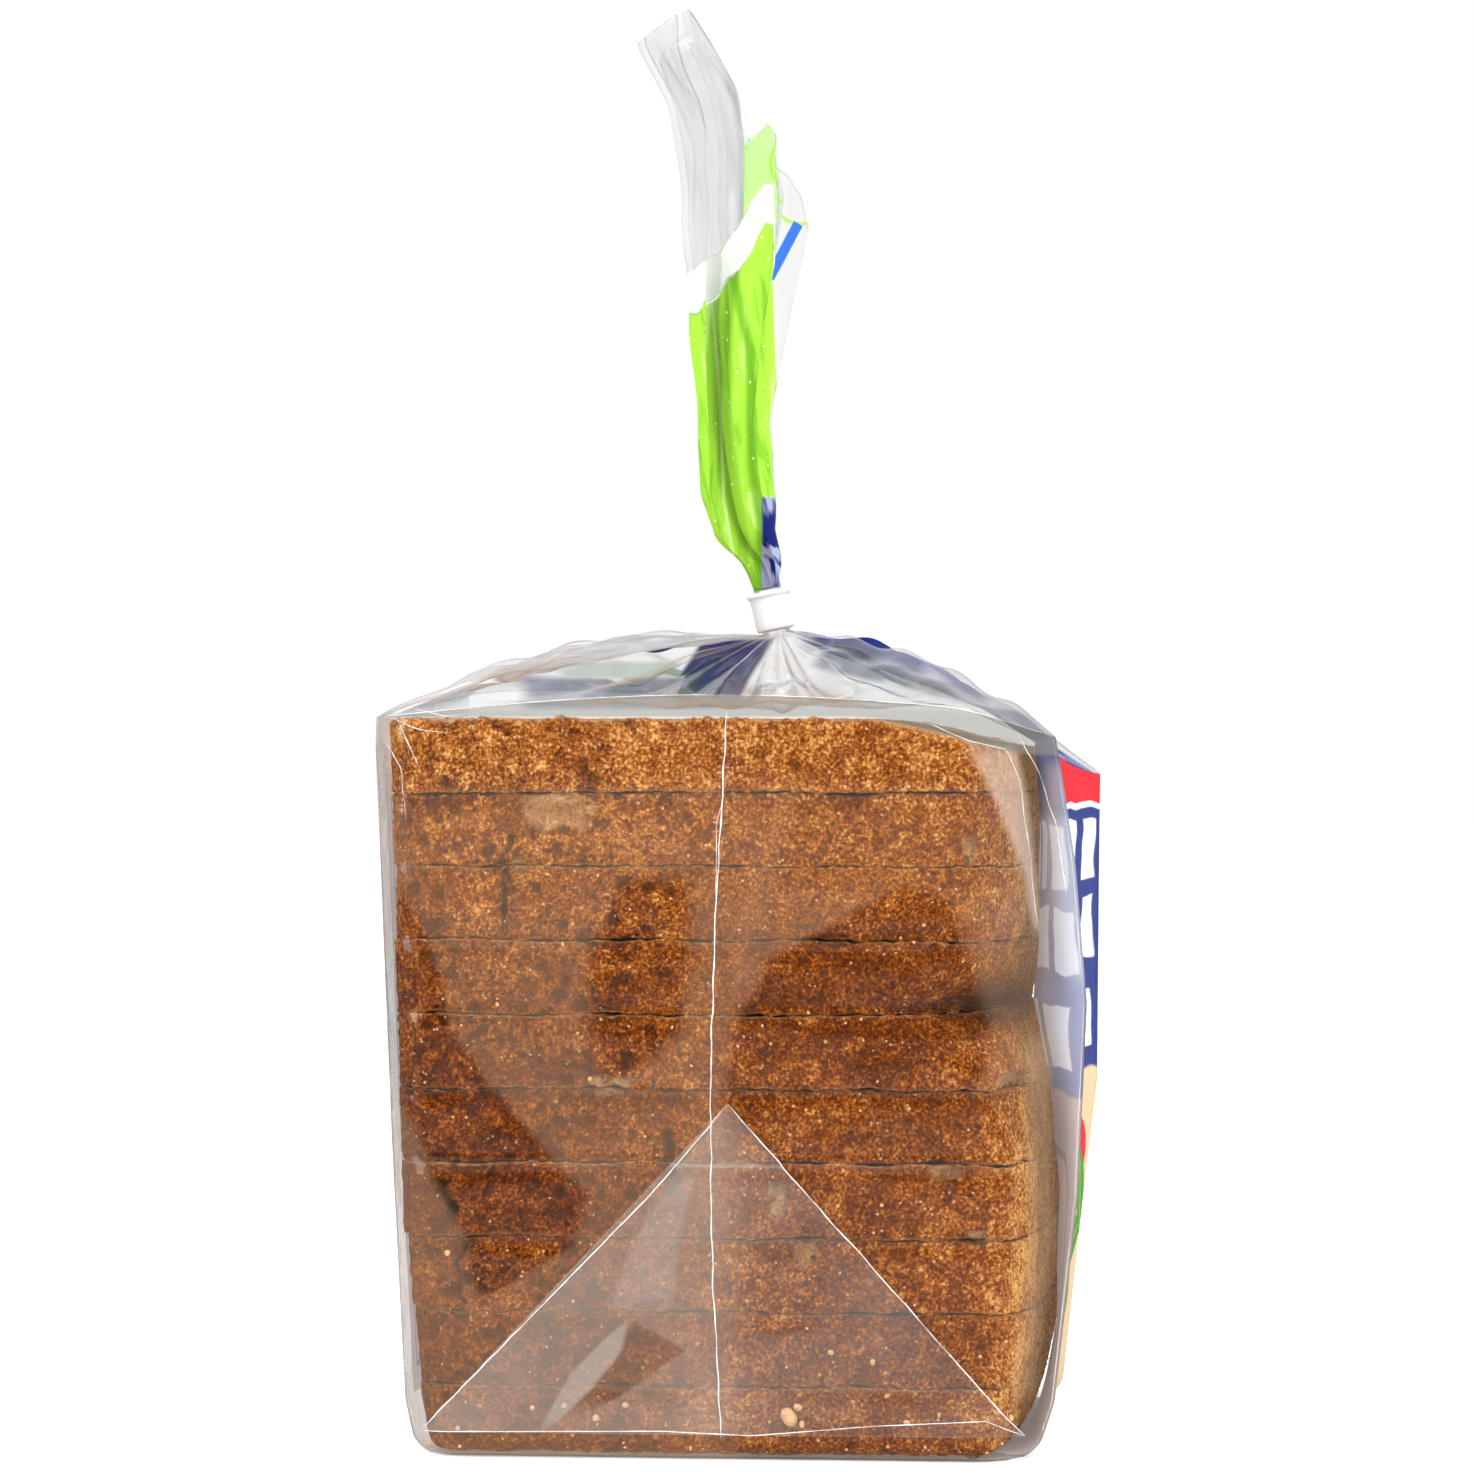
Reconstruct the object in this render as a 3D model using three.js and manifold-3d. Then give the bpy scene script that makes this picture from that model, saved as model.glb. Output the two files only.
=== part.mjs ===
// A sliced sandwich loaf in a clear side-gusseted bag, closed at the neck by a white band.
// The pack stands on its folded end, so the ten slices lie flat in a stack. Millimetres, +Z up.
// -X is the loaf's base crust and the bag's back panel, +X is its domed crust and the front
// panel, and the two crust sides lie behind the gussets at -Y and +Y. The origin is the middle
// of the flat end that the pack stands on.
import * as THREE from "three";
import { mergeVertices } from "three/addons/utils/BufferGeometryUtils.js";
import Module from "manifold-3d";

// The loaf inside, as the bag shows it
const sliceCount = 10;
const sliceThickness = 13;
const stackHeight = sliceCount * sliceThickness;
const jointDepth = 1.5; // how far the film dips into the joint between two slices
const jointHalf = 1.3; // half the height of that dip
const sliceShift = 0.7; // how unevenly the slices are stacked, either way

// The bag round the stack: heights along a crease, and where the crease stands there
const backCrease = [[0, -55], [10, -57.2], [54, -59.5], [126, -62.5], [stackHeight, -62.3]];
const frontCreaseNear = [[0, 54], [10, 57.3], [46, 61.4], [80, 63], [105, 61], [stackHeight, 57.5]];
const frontCreaseFar = [[0, 53.4], [20, 55.6], [42, 58], [61, 60.3], [stackHeight, 60.9]];
const flatEnd = [[0, 46], [52, 50], [70, 41], [stackHeight, 39]]; // where the loaf rounds off
const gussetY = 59.8; // half the pack's depth over the crust sides
const backCornerY = 55;
const backRounding = 8; // how far along X the back corner is rounded
const frontCornerY = 50.5;
const frontHollow = 4.5; // how far the front panel bows in towards the dome
const endInset = 4.5; // rounding of the bottom edge
const endRound = 4;
const topLip = 4; // the gusset stands up past the top slice before it folds in
const backLift = 5; // and the back panel's far corner stands up higher still
const domeDroop = 11; // the bag sags over the far end of the dome
const droopFrom = 38; // from here along X
const droopTo = 60; // to here, where it sags the most
const droopPower = 8; // high, so that only the top slices sag
const nearDroop = 0.25; // the near end of the dome sags by this share of it

// The shoulder, the neck and the white band
const bandCentre = new THREE.Vector3(2.5, 0, 150);
const bandLean = THREE.MathUtils.degToRad(-12);
const bandHeight = 7.2;
const bandBore = 2.95;
const bandOuter = 3.55;
const lipOuter = 4.1;
const lipHeight = 0.9;
const neckRadius = 2.6;
const neckPast = 0.6; // how far the round neck runs on past each end of the band
const shoulderSwell = 5.5; // the film stands this far above a straight tent
const swellPower = 0.6; // below 1, most of that swell is near the rim
const gussetSink = 5.5; // and the gusset's middle crease this far below it
const gatherDepth = 1.6;
const shoulderSteps = [0.08, 0.25, 0.45, 0.65, 0.83, 1]; // from the rim to the neck

// The loose tail above the band
const tailSpread = 34; // half its width along Y at the cut edge
const tailPleats = 3.5;
const pleatDepth = { neck: 2.2, edge: 13 }; // how deep the pleats are, at the neck and the cut edge
const wingOpen = { neck: 3.4, back: 6.5, front: 11 }; // how far the wings' outer creases stand apart
const backWingShare = 0.5; // of that, how far the back wings reach where the pleats stand out most
const tailFoot = 4.1; // half its width along Y where it leaves the band
const tailOpensBy = 0.14; // the share of its height in which the round neck turns into pleats
const tailSteps = [0, 0.04, 0.1, 0.18, 0.3, 0.42, 0.54, 0.66, 0.78, 0.9, 1];
const leaf = 1.5; // thickness of one folded wing of film before it is drawn in
const valleyShare = 0.4; // the gusset folds in to this share of the half width
// The tail from the near side: heights along its left edge, along the line up to the notch
// between its two lobes, and along its right edge, and the X of each there. The pleats are
// drawn in between these three lines.
const tailLeft = [
  [151.5, -2.5], [155, -6], [162.5, -9], [171.5, -11.1], [186, -11.6], [204, -13.8],
  [226, -15.2], [237.5, -16.6], [243.7, -18.1], [254.4, -23.7], [262, -24.5],
];
const tailNotch = [
  [151.5, 0.5], [170, -3], [186, -5], [203, -4.6], [226, -2.8], [234, -2.4], [246, -3.1],
  [255, -6.8], [262, -8],
];
const tailRight = [
  [151.5, 4.5], [158, 5.1], [165, 3.2], [185, 2.1], [202, 5.3], [220.5, 9.2], [226.5, 10.3],
  [236.3, 7], [262, 3],
];
const notchStep = { from: 234, to: 240, by: 2.5 }; // the right lobe stands clear of the notch
// The height of the cut edge from the left edge (-1) by the notch (0) to the right edge (1)
const tailTop = [
  [-1, 254.4], [-0.5, 260], [-0.3, 261.4], [-0.12, 255], [-0.04, 246], [0, 234],
  [0.06, 238], [0.3, 240], [0.7, 236.5], [1, 226.5],
];
const farDrop = { from: -5, to: 20, by: 6 }; // the far layers are shorter than the near ones
const fanTurn = THREE.MathUtils.degToRad(6); // the layers lie turned by this from the Y axis
const fanReach = 1100; // and fan out as if from a point this far in front of the pack
const fanHeight = 126.7; // and this far above its foot
const fanSide = -4; // and this far to the side of its middle

// The folded triangle that the end makes on each gusset, and the creases
const foldApex = { x: 0.6, z: 62.4 };
const foldFoot = { back: -54, front: 52.5, z: 4.6 };
const foldProud = 1;
const foldInside = 3; // it reaches this far into the wall, past the dips of the joints
const creaseWidth = 0.9;
const creaseTop = 131;
const creaseLean = 2.5; // the crease's two ends stand this far in front of the apex

// How many strips each panel has round the bag
const wingStrips = 8; // from an outer crease to a valley
const coreStrips = 6; // from one valley to the other
const gussetStrips = 2 * wingStrips;
const panelStrips = 2 * wingStrips + coreStrips;
const strips = 2 * (gussetStrips + panelStrips);

const { lerp, clamp, smoothstep } = THREE.MathUtils;

// A small repeatable draw from 0 to 1 for the number n.
const draw = (n) => {
  const s = Math.sin(n * 127.1 + 11.7) * 43758.5453;
  return s - Math.floor(s);
};

// The place of a crease at height z, eased between its few given points.
function along(points, z) {
  const last = points.length - 1;
  for (let i = 0; i < last; i++) {
    const [z0, x0] = points[i];
    const [z1, x1] = points[i + 1];
    if (z <= z1 || i === last - 1) return lerp(x0, x1, clamp((z - z0) / (z1 - z0), 0, 1));
  }
}

// Which panel strip j belongs to, and how far along it, 0 to 1, going round from the near
// gusset by the front panel and the far gusset to the back panel.
function panelOf(j) {
  const ends = [gussetStrips, gussetStrips + panelStrips, 2 * gussetStrips + panelStrips, strips];
  const names = ["near", "front", "far", "back"];
  const k = ends.findIndex((end) => j < end);
  const start = k === 0 ? 0 : ends[k - 1];
  return { side: names[k], s: (j - start) / (ends[k] - start) };
}

// The slice that height z falls in leans a little to one side of the stack.
function stackShift(z) {
  const slice = clamp(Math.floor(z / sliceThickness), 0, sliceCount - 1);
  return sliceShift * (2 * draw(slice) - 1);
}

// How deep the film dips at height z, deepest at a joint between slices.
function jointDip(z) {
  const joint = Math.round(z / sliceThickness);
  if (joint < 1 || joint >= sliceCount) return 0;
  return jointDepth * clamp(1 - Math.abs(z - joint * sliceThickness) / jointHalf, 0, 1);
}

// How far the smooth gusset stands from the pack's middle at x and z, on the near side (hand
// -1) or the far side (hand 1), with the share of the way round its front corner.
function gussetFace(x, z, hand) {
  const back = along(backCrease, z);
  const front = along(hand < 0 ? frontCreaseNear : frontCreaseFar, z);
  const roundFrom = along(flatEnd, z);
  const backRound = (gussetY - backCornerY) * (1 - clamp((x - back) / backRounding, 0, 1)) ** 2;
  const frontShare = clamp((x - roundFrom) / (front - roundFrom), 0, 1);
  const frontRound = (gussetY - frontCornerY) * frontShare ** 1.5;
  return { reach: gussetY - backRound - frontRound, frontShare };
}

// A point of the bag where it lies on the stack, at height z on strip j.
function wallPoint(z, j) {
  const { side, s } = panelOf(j);
  const inset = endInset * (1 - Math.sqrt(clamp(1 - (1 - clamp(z / endRound, 0, 1)) ** 2, 0, 1)));
  const dip = jointDip(z) + inset;
  const back = along(backCrease, z);
  let x;
  let y;
  if (side === "near" || side === "far") {
    const hand = side === "near" ? -1 : 1;
    const front = along(side === "near" ? frontCreaseNear : frontCreaseFar, z);
    x = lerp(back, front, side === "near" ? s : 1 - s);
    const { reach, frontShare } = gussetFace(x, z, hand);
    const clings = 1 - smoothstep(frontShare, 0.1, 0.8);
    const lean = stackShift(z) * clings * smoothstep(x, back, back + backRounding);
    y = hand * (reach - dip * Math.max(clings, inset > 0 ? 1 : 0) - lean);
    x = clamp(x, back + inset, front - inset);
  } else if (side === "front") {
    const near = along(frontCreaseNear, z);
    const far = along(frontCreaseFar, z);
    y = lerp(-frontCornerY, frontCornerY, s);
    x = lerp(near, far, s) - frontHollow * (1 - (2 * s - 1) ** 2) - inset;
    y *= 1 - inset / frontCornerY;
  } else {
    y = lerp(backCornerY, -backCornerY, s);
    x = back + Math.max(inset, dip * Math.min(1, 6 * s, 6 * (1 - s)));
    y *= 1 - inset / backCornerY;
  }
  const toFar = (y + gussetY) / (2 * gussetY);
  const sag = domeDroop * lerp(nearDroop, 1, toFar) * smoothstep(x, droopFrom, droopTo);
  return new THREE.Vector3(x, y, z - sag * (z / stackHeight) ** droopPower);
}

// The top rim of the wall: the gussets stand up a little higher at their middle crease, and
// the back panel towards its far corner.
function rimPoint(j) {
  const { side, s } = panelOf(j);
  const point = wallPoint(stackHeight, j);
  const toFar = (point.y + gussetY) / (2 * gussetY);
  if (side === "near" || side === "far") point.z += topLip * Math.sin(Math.PI * s);
  point.z += backLift * toFar * (1 - smoothstep(point.x, -droopTo, 0));
  return point;
}

// A round section of the neck, square to the leaning band, at a height along its axis.
const bandAxis = new THREE.Vector3(Math.sin(bandLean), 0, Math.cos(bandLean));
const bandAcross = new THREE.Vector3(Math.cos(bandLean), 0, -Math.sin(bandLean));
function neckPoint(height, j) {
  const { side, s } = panelOf(j);
  const start = { near: -135, front: -45, far: 45, back: 135 }[side];
  const angle = THREE.MathUtils.degToRad(start + 90 * s);
  return bandCentre
    .clone()
    .addScaledVector(bandAxis, height)
    .addScaledVector(bandAcross, neckRadius * Math.cos(angle))
    .add(new THREE.Vector3(0, neckRadius * Math.sin(angle), 0));
}

// The shoulder: a puffed tent from the rim to the neck whose gussets fold in.
function shoulderPoint(u, j) {
  const { side, s } = panelOf(j);
  const point = rimPoint(j).lerp(neckPoint(-bandHeight / 2 - neckPast, j), u);
  const rise = Math.sin(Math.PI * u ** swellPower);
  const gusset = side === "near" || side === "far";
  const fold = gusset ? Math.sin(Math.PI * s) : 0;
  point.z += rise * lerp(shoulderSwell, -gussetSink, fold);
  if (gusset) return point;
  point.z -= gatherDepth * rise * (1 - u) * Math.abs(Math.sin(3 * Math.PI * s));
  return point;
}

// A zigzag from -1 to 1 that starts at 0 and turns over at each fold.
const zigzag = (q) => (2 / Math.PI) * Math.asin(Math.sin(2 * Math.PI * q));

// How a place on the tail's middle plane moves where its layer lies at y.
function fannedOut(x, y, z) {
  const scale = 1 + (y * Math.cos(fanTurn)) / fanReach;
  const across = (x - fanSide) * scale - y * Math.tan(fanTurn) + fanSide;
  return new THREE.Vector3(across, y, fanHeight + (z - fanHeight) * scale);
}

// A section of the tail at share t of its height: front and back panels pleated together,
// with the gussets folded in between them as far as the valleys.
function tailPoint(t, j) {
  const { side, s } = panelOf(j);
  const top = neckPoint(bandHeight / 2 + neckPast, j);
  const half = lerp(tailFoot, tailSpread, t ** 0.85);
  const valley = valleyShare * half;
  const depth = lerp(pleatDepth.neck, pleatDepth.edge, t);
  const pleat = (y) => -depth * zigzag(((y + half) / (4 * half)) * tailPleats);
  const across = (k) => {
    if (k < wingStrips) return lerp(-half, -valley, k / wingStrips);
    if (k < wingStrips + coreStrips) return lerp(-valley, valley, (k - wingStrips) / coreStrips);
    return lerp(valley, half, (k - wingStrips - coreStrips) / wingStrips);
  };
  const gap = (toFront) => lerp(wingOpen.neck, toFront > 0 ? wingOpen.front : wingOpen.back, t ** 1.2);
  const apart = (y, toFront) => {
    return leaf + gap(toFront) * clamp((Math.abs(y) - valley) / (half - valley), 0, 1) ** 1.2;
  };
  let aslant;
  let y;
  if (side === "near" || side === "far") {
    const hand = side === "near" ? -1 : 1;
    const toFront = (side === "near" ? s < 0.5 : s > 0.5) ? -1 : 1;
    const q = Math.abs(2 * s - 1); // 1 at the outer creases, 0 in the valley
    y = hand * lerp(valley, half, q);
    aslant = pleat(y) + toFront * (apart(y, toFront) - leaf * Math.min(1, 3 * (1 - q), 3 * q));
    if (q === 0) aslant = pleat(y);
  } else {
    const toFront = side === "front" ? 1 : -1;
    y = toFront * across(s * panelStrips);
    aslant = pleat(y) + toFront * apart(y, toFront);
  }
  const widest = depth + leaf + (aslant > 0 ? gap(1) : backWingShare * gap(-1));
  const reach = aslant / widest;
  const cut = along(tailTop, reach) - farDrop.by * smoothstep(y, farDrop.from, farDrop.to);
  const z = lerp(top.z, cut, t);
  const step = reach > 0 ? notchStep.by * smoothstep(z, notchStep.from, notchStep.to) : 0;
  const notch = along(tailNotch, z) + step;
  const edge = along(reach < 0 ? tailLeft : tailRight, z);
  const point = fannedOut(lerp(notch, edge, Math.abs(reach)), y, z);
  return top.lerp(point, smoothstep(t, 0, tailOpensBy));
}

// Every ring of the bag from its flat end to the cut edge of the tail.
function bagRings() {
  const ring = (place) => Array.from({ length: strips }, (_, j) => place(j));
  const heights = [0, 1.3, endRound];
  for (let k = 1; k < sliceCount; k++) {
    const joint = k * sliceThickness;
    heights.push(joint - jointHalf, joint, joint + jointHalf);
  }
  const rings = heights.map((z) => ring((j) => wallPoint(z, j)));
  rings.push(ring(rimPoint));
  for (const u of shoulderSteps) rings.push(ring((j) => shoulderPoint(u, j)));
  for (const t of tailSteps) rings.push(ring((j) => tailPoint(t, j)));
  return rings;
}

// Closes a run of rings into one solid skin, with both ends capped.
function skinOf(rings) {
  const points = rings.flat();
  const index = [];
  for (let i = 0; i + 1 < rings.length; i++) {
    for (let j = 0; j < strips; j++) {
      const a = i * strips + j;
      const b = i * strips + ((j + 1) % strips);
      index.push(a, b, b + strips, a, b + strips, a + strips);
    }
  }
  const cap = (ring, base, flip) => {
    const outline = ring.map((p) => new THREE.Vector2(p.x, p.y));
    for (const [a, b, c] of THREE.ShapeUtils.triangulateShape(outline, [])) {
      index.push(base + a, base + (flip ? c : b), base + (flip ? b : c));
    }
  };
  cap(rings[0], 0, true);
  cap(rings[rings.length - 1], (rings.length - 1) * strips, false);
  const geometry = new THREE.BufferGeometry().setFromPoints(points);
  geometry.setIndex(index);
  return geometry;
}

const wasm = await Module();
wasm.setup();

function solidOf(geometry) {
  const bare = geometry.clone();
  bare.deleteAttribute("normal");
  bare.deleteAttribute("uv");
  const merged = mergeVertices(bare, 1e-4);
  return new wasm.Manifold(
    new wasm.Mesh({
      numProp: 3,
      vertProperties: merged.attributes.position.array,
      triVerts: new Uint32Array(merged.index.array),
    }),
  );
}

function geometryOf(solid) {
  const mesh = solid.getMesh();
  const geometry = new THREE.BufferGeometry();
  geometry.setAttribute("position", new THREE.BufferAttribute(mesh.vertProperties, 3));
  geometry.setIndex(new THREE.BufferAttribute(mesh.triVerts, 1));
  geometry.computeVertexNormals();
  return geometry;
}

// A patch that follows the gusset at that hand, -1 near and 1 far, from z0 up to z1, and from
// edge(z)[0] to edge(z)[1] along X. It stands proud of the film and reaches into the wall.
function gussetPatch(hand, z0, z1, edge, proud, rows, columns) {
  const points = [];
  for (const offset of [proud, -foldInside]) {
    for (let i = 0; i <= rows; i++) {
      const z = lerp(z0, z1, i / rows);
      const [x0, x1] = edge(z);
      for (let j = 0; j <= columns; j++) {
        const x = lerp(x0, x1, j / columns);
        points.push(new THREE.Vector3(x, hand * (gussetFace(x, z, hand).reach + offset), z));
      }
    }
  }
  const layer = (rows + 1) * (columns + 1);
  const at = (i, j, inside) => inside * layer + i * (columns + 1) + j;
  const index = [];
  const quad = (a, b, c, d) => {
    if (hand < 0) index.push(a, b, c, a, c, d);
    else index.push(a, c, b, a, d, c);
  };
  for (let i = 0; i < rows; i++) {
    for (let j = 0; j < columns; j++) {
      quad(at(i, j, 0), at(i, j + 1, 0), at(i + 1, j + 1, 0), at(i + 1, j, 0));
      quad(at(i, j, 1), at(i + 1, j, 1), at(i + 1, j + 1, 1), at(i, j + 1, 1));
    }
    quad(at(i, 0, 0), at(i + 1, 0, 0), at(i + 1, 0, 1), at(i, 0, 1));
    quad(at(i, columns, 0), at(i, columns, 1), at(i + 1, columns, 1), at(i + 1, columns, 0));
  }
  for (let j = 0; j < columns; j++) {
    quad(at(0, j, 0), at(0, j, 1), at(0, j + 1, 1), at(0, j + 1, 0));
    quad(at(rows, j, 0), at(rows, j + 1, 0), at(rows, j + 1, 1), at(rows, j, 1));
  }
  const geometry = new THREE.BufferGeometry().setFromPoints(points);
  geometry.setIndex(index);
  return solidOf(geometry);
}

// The end's film folds up into a triangle on the gusset, one film thickness proud of it.
function foldedTriangle(hand) {
  const edge = (z) => {
    const up = (z - foldFoot.z) / (foldApex.z - foldFoot.z);
    const half = creaseWidth / 2;
    return [lerp(foldFoot.back, foldApex.x - half, up), lerp(foldFoot.front, foldApex.x + half, up)];
  };
  return gussetPatch(hand, foldFoot.z, foldApex.z, edge, foldProud, 8, 14);
}

// The gusset's middle crease stands out as a fine ridge from the end to the rim.
function middleCrease(hand) {
  const line = [
    [foldFoot.z, foldApex.x + creaseLean],
    [foldApex.z, foldApex.x],
    [creaseTop, foldApex.x + creaseLean],
  ];
  const edge = (z) => [along(line, z) - creaseWidth / 2, along(line, z) + creaseWidth / 2];
  return gussetPatch(hand, foldFoot.z, creaseTop, edge, foldProud + 0.6, 20, 1);
}

function bag() {
  let solid = solidOf(skinOf(bagRings()));
  for (const hand of [-1, 1]) {
    solid = solid.add(foldedTriangle(hand)).add(middleCrease(hand));
  }
  return geometryOf(solid);
}

// The band is a short plastic sleeve with a rolled lip at its upper end.
function band() {
  const low = -bandHeight / 2;
  const high = bandHeight / 2;
  const lip = Array.from({ length: 5 }, (_, i) => {
    const angle = -Math.PI / 2 + (Math.PI * i) / 4;
    return new THREE.Vector2(
      lipOuter - lipHeight / 2 + (lipHeight / 2) * Math.cos(angle),
      high - lipHeight / 2 + (lipHeight / 2) * Math.sin(angle),
    );
  });
  const profile = [
    new THREE.Vector2(bandBore, low),
    new THREE.Vector2(bandOuter + 0.15, low),
    new THREE.Vector2(bandOuter, low + 1),
    new THREE.Vector2(bandOuter, high - lipHeight - 0.3),
    ...lip,
    new THREE.Vector2(bandBore, high),
    new THREE.Vector2(bandBore, low),
  ];
  const sleeve = new THREE.LatheGeometry(profile, 32);
  sleeve.rotateX(Math.PI / 2); // the lathe turns about Y, and the sleeve stands along Z
  return sleeve;
}

const film = new THREE.MeshStandardMaterial({
  color: 0xb5713a,
  roughness: 0.35,
  metalness: 0,
});
const whitePlastic = new THREE.MeshStandardMaterial({
  color: 0xf1f2f4,
  roughness: 0.4,
  metalness: 0,
});

const pack = new THREE.Group();

const bagMesh = new THREE.Mesh(bag(), film);
bagMesh.name = "bag";
pack.add(bagMesh);

const bandMesh = new THREE.Mesh(band(), whitePlastic);
bandMesh.name = "neck_band";
bandMesh.position.copy(bandCentre);
bandMesh.rotation.y = bandLean;
pack.add(bandMesh);

export default pack;
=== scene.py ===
# %% [markdown]
# A sliced sandwich loaf stands on end in its bag: ten slices lie in a stack, clear film lies
# against their crusts, and a white band gathers the film under a loose tail. The solid model
# gives the size and the place of the bag and of the band. This file builds what the eye sees
# there: slices with a real crust, thin film with folds and print, crumbs, and the band.

import math
from types import SimpleNamespace

import bpy
import numpy as np
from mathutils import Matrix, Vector


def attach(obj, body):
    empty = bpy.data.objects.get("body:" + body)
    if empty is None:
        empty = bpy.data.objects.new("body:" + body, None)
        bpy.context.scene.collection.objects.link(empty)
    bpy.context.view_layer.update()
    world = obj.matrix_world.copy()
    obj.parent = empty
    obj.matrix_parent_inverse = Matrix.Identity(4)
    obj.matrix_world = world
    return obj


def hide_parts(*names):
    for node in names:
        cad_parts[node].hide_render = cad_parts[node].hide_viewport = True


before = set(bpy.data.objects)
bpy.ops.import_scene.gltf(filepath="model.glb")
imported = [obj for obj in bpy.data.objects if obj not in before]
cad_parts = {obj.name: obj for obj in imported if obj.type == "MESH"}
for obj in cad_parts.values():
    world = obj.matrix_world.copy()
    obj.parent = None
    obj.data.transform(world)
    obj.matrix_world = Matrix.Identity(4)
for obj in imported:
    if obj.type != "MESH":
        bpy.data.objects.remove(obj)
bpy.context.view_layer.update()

# %% [markdown]
# All shapes are worked out in millimetres and turned into metres as each mesh is made, because
# a baker's and a bag maker's sizes read best in millimetres. X runs from the base crust to the
# domed crust, Y from the near gusset to the far one, and Z up the stack.

# %% Driving sizes in millimetres
MM = 0.001
SLICES = 10
SLICE = 13
STACK = SLICES * SLICE
BACK_CREASE = ([0, 10, 54, 126, STACK], [-55, -57.2, -59.5, -62.5, -62.3])
FRONT_NEAR = ([0, 10, 46, 80, 105, STACK], [54, 57.3, 61.4, 63, 61, 57.5])
FRONT_FAR = ([0, 20, 42, 61, STACK], [53.4, 55.6, 58, 60.3, 60.9])
FLAT_END = ([0, 52, 70, STACK], [46, 50, 41, 39])
GUSSET_Y = 59.8
BACK_CORNER_Y = 55
BACK_ROUNDING = 8
FRONT_CORNER_Y = 50.5
SLICE_SHIFT = 0.7
END_INSET = 4.5
END_ROUND = 4
BAND_CENTRE = np.array([2.5, 0, 150])
BAND_LEAN = math.radians(-12)
BAND_HEIGHT = 7.2
NECK_RADIUS = 2.6
FILM = 0.1


def along(points, z):
    return np.interp(z, points[0], points[1])


def mix(a, b, share):
    return a + (b - a) * share


def ease(value, low, high):
    share = np.clip((value - low) / (high - low), 0, 1)
    return share * share * (3 - 2 * share)


def sine_noise(seed, *axes):
    """A smooth repeatable noise from about -1 to 1; each axis is a pair of values and a scale."""
    draw = np.random.default_rng(seed)
    total = 0
    for octave in range(5):
        phase = draw.uniform(0, 2 * math.pi)
        for values, scale in axes:
            turns = draw.uniform(0.5, 1.8) * draw.choice([-1, 1])
            phase = phase + values * (2 * math.pi / scale) * turns
        total = total + np.sin(phase)
    return total / 3.2


# %% [markdown]
# The photograph was taken level with the top of the loaf, from about a metre away and a little
# to the right, so the near gusset is seen almost square on and the front panel very aslant.
# The camera is made first.

# %% Camera
CAMERA_AZIMUTH = math.radians(6)
CAMERA_DISTANCE = 1.1
CAMERA_TARGET = np.array([-0.004, 0, 0.1267])
camera_data = bpy.data.cameras.new("camera")
camera_data.sensor_width = 36
camera_data.lens = 145.3
camera = bpy.data.objects.new("camera", camera_data)
bpy.context.scene.collection.objects.link(camera)
offset = np.array([math.sin(CAMERA_AZIMUTH), -math.cos(CAMERA_AZIMUTH), 0]) * CAMERA_DISTANCE
camera.location = CAMERA_TARGET + offset
camera.rotation_euler = (math.radians(90), 0, CAMERA_AZIMUTH)
bpy.context.scene.camera = camera
bpy.context.scene.view_settings.view_transform = "Standard"
cycles = bpy.context.scene.cycles
cycles.transparent_max_bounces = 24
cycles.max_bounces = 4
cycles.diffuse_bounces = 1
cycles.glossy_bounces = 2
print("camera", [round(v, 3) for v in camera.location], "lens", camera_data.lens)

# %% [markdown]
# Node trees are written as Python expressions. A Value wraps one socket, and adding or
# multiplying two of them adds the Math node that does it, so a pattern reads like a formula.
# Tree.node makes any other node from its type, its settings and what goes into its sockets.


# %% Node trees as expressions
class Value:
    def __init__(self, tree, socket):
        self.tree = tree
        self.socket = socket

    def math(self, operation, *others):
        inputs = dict(enumerate((self, *others)))
        return self.tree.node("ShaderNodeMath", {"operation": operation}, inputs).out()

    def __add__(self, other):
        return self.math("ADD", other)

    def __sub__(self, other):
        return self.math("SUBTRACT", other)

    def __rsub__(self, other):
        return (self * -1) + other

    def __mul__(self, other):
        return self.math("MULTIPLY", other)

    def __truediv__(self, other):
        return self.math("DIVIDE", other)

    def __pow__(self, other):
        return self.math("POWER", other)

    __radd__ = __add__
    __rmul__ = __mul__

    def __abs__(self):
        return self.math("ABSOLUTE")

    def most(self, other):
        """The larger of this and another, so that masks can be laid over each other."""
        return self.math("MAXIMUM", other)

    def step(self, low, high):
        """0 where this is under low, 1 where it is over high, eased between."""
        inputs = {"Value": self, "From Min": low, "From Max": high}
        settings = {"interpolation_type": "SMOOTHSTEP"}
        return self.tree.node("ShaderNodeMapRange", settings, inputs).out("Result")

    def inside(self, low, high, soft):
        """1 where this is between low and high, with both edges eased by soft."""
        return self.step(low - soft, low + soft) * (1 - self.step(high - soft, high + soft))


class Made:
    def __init__(self, tree, node):
        self.tree = tree
        self.node = node

    def out(self, name=0):
        return Value(self.tree, self.node.outputs[name])


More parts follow.
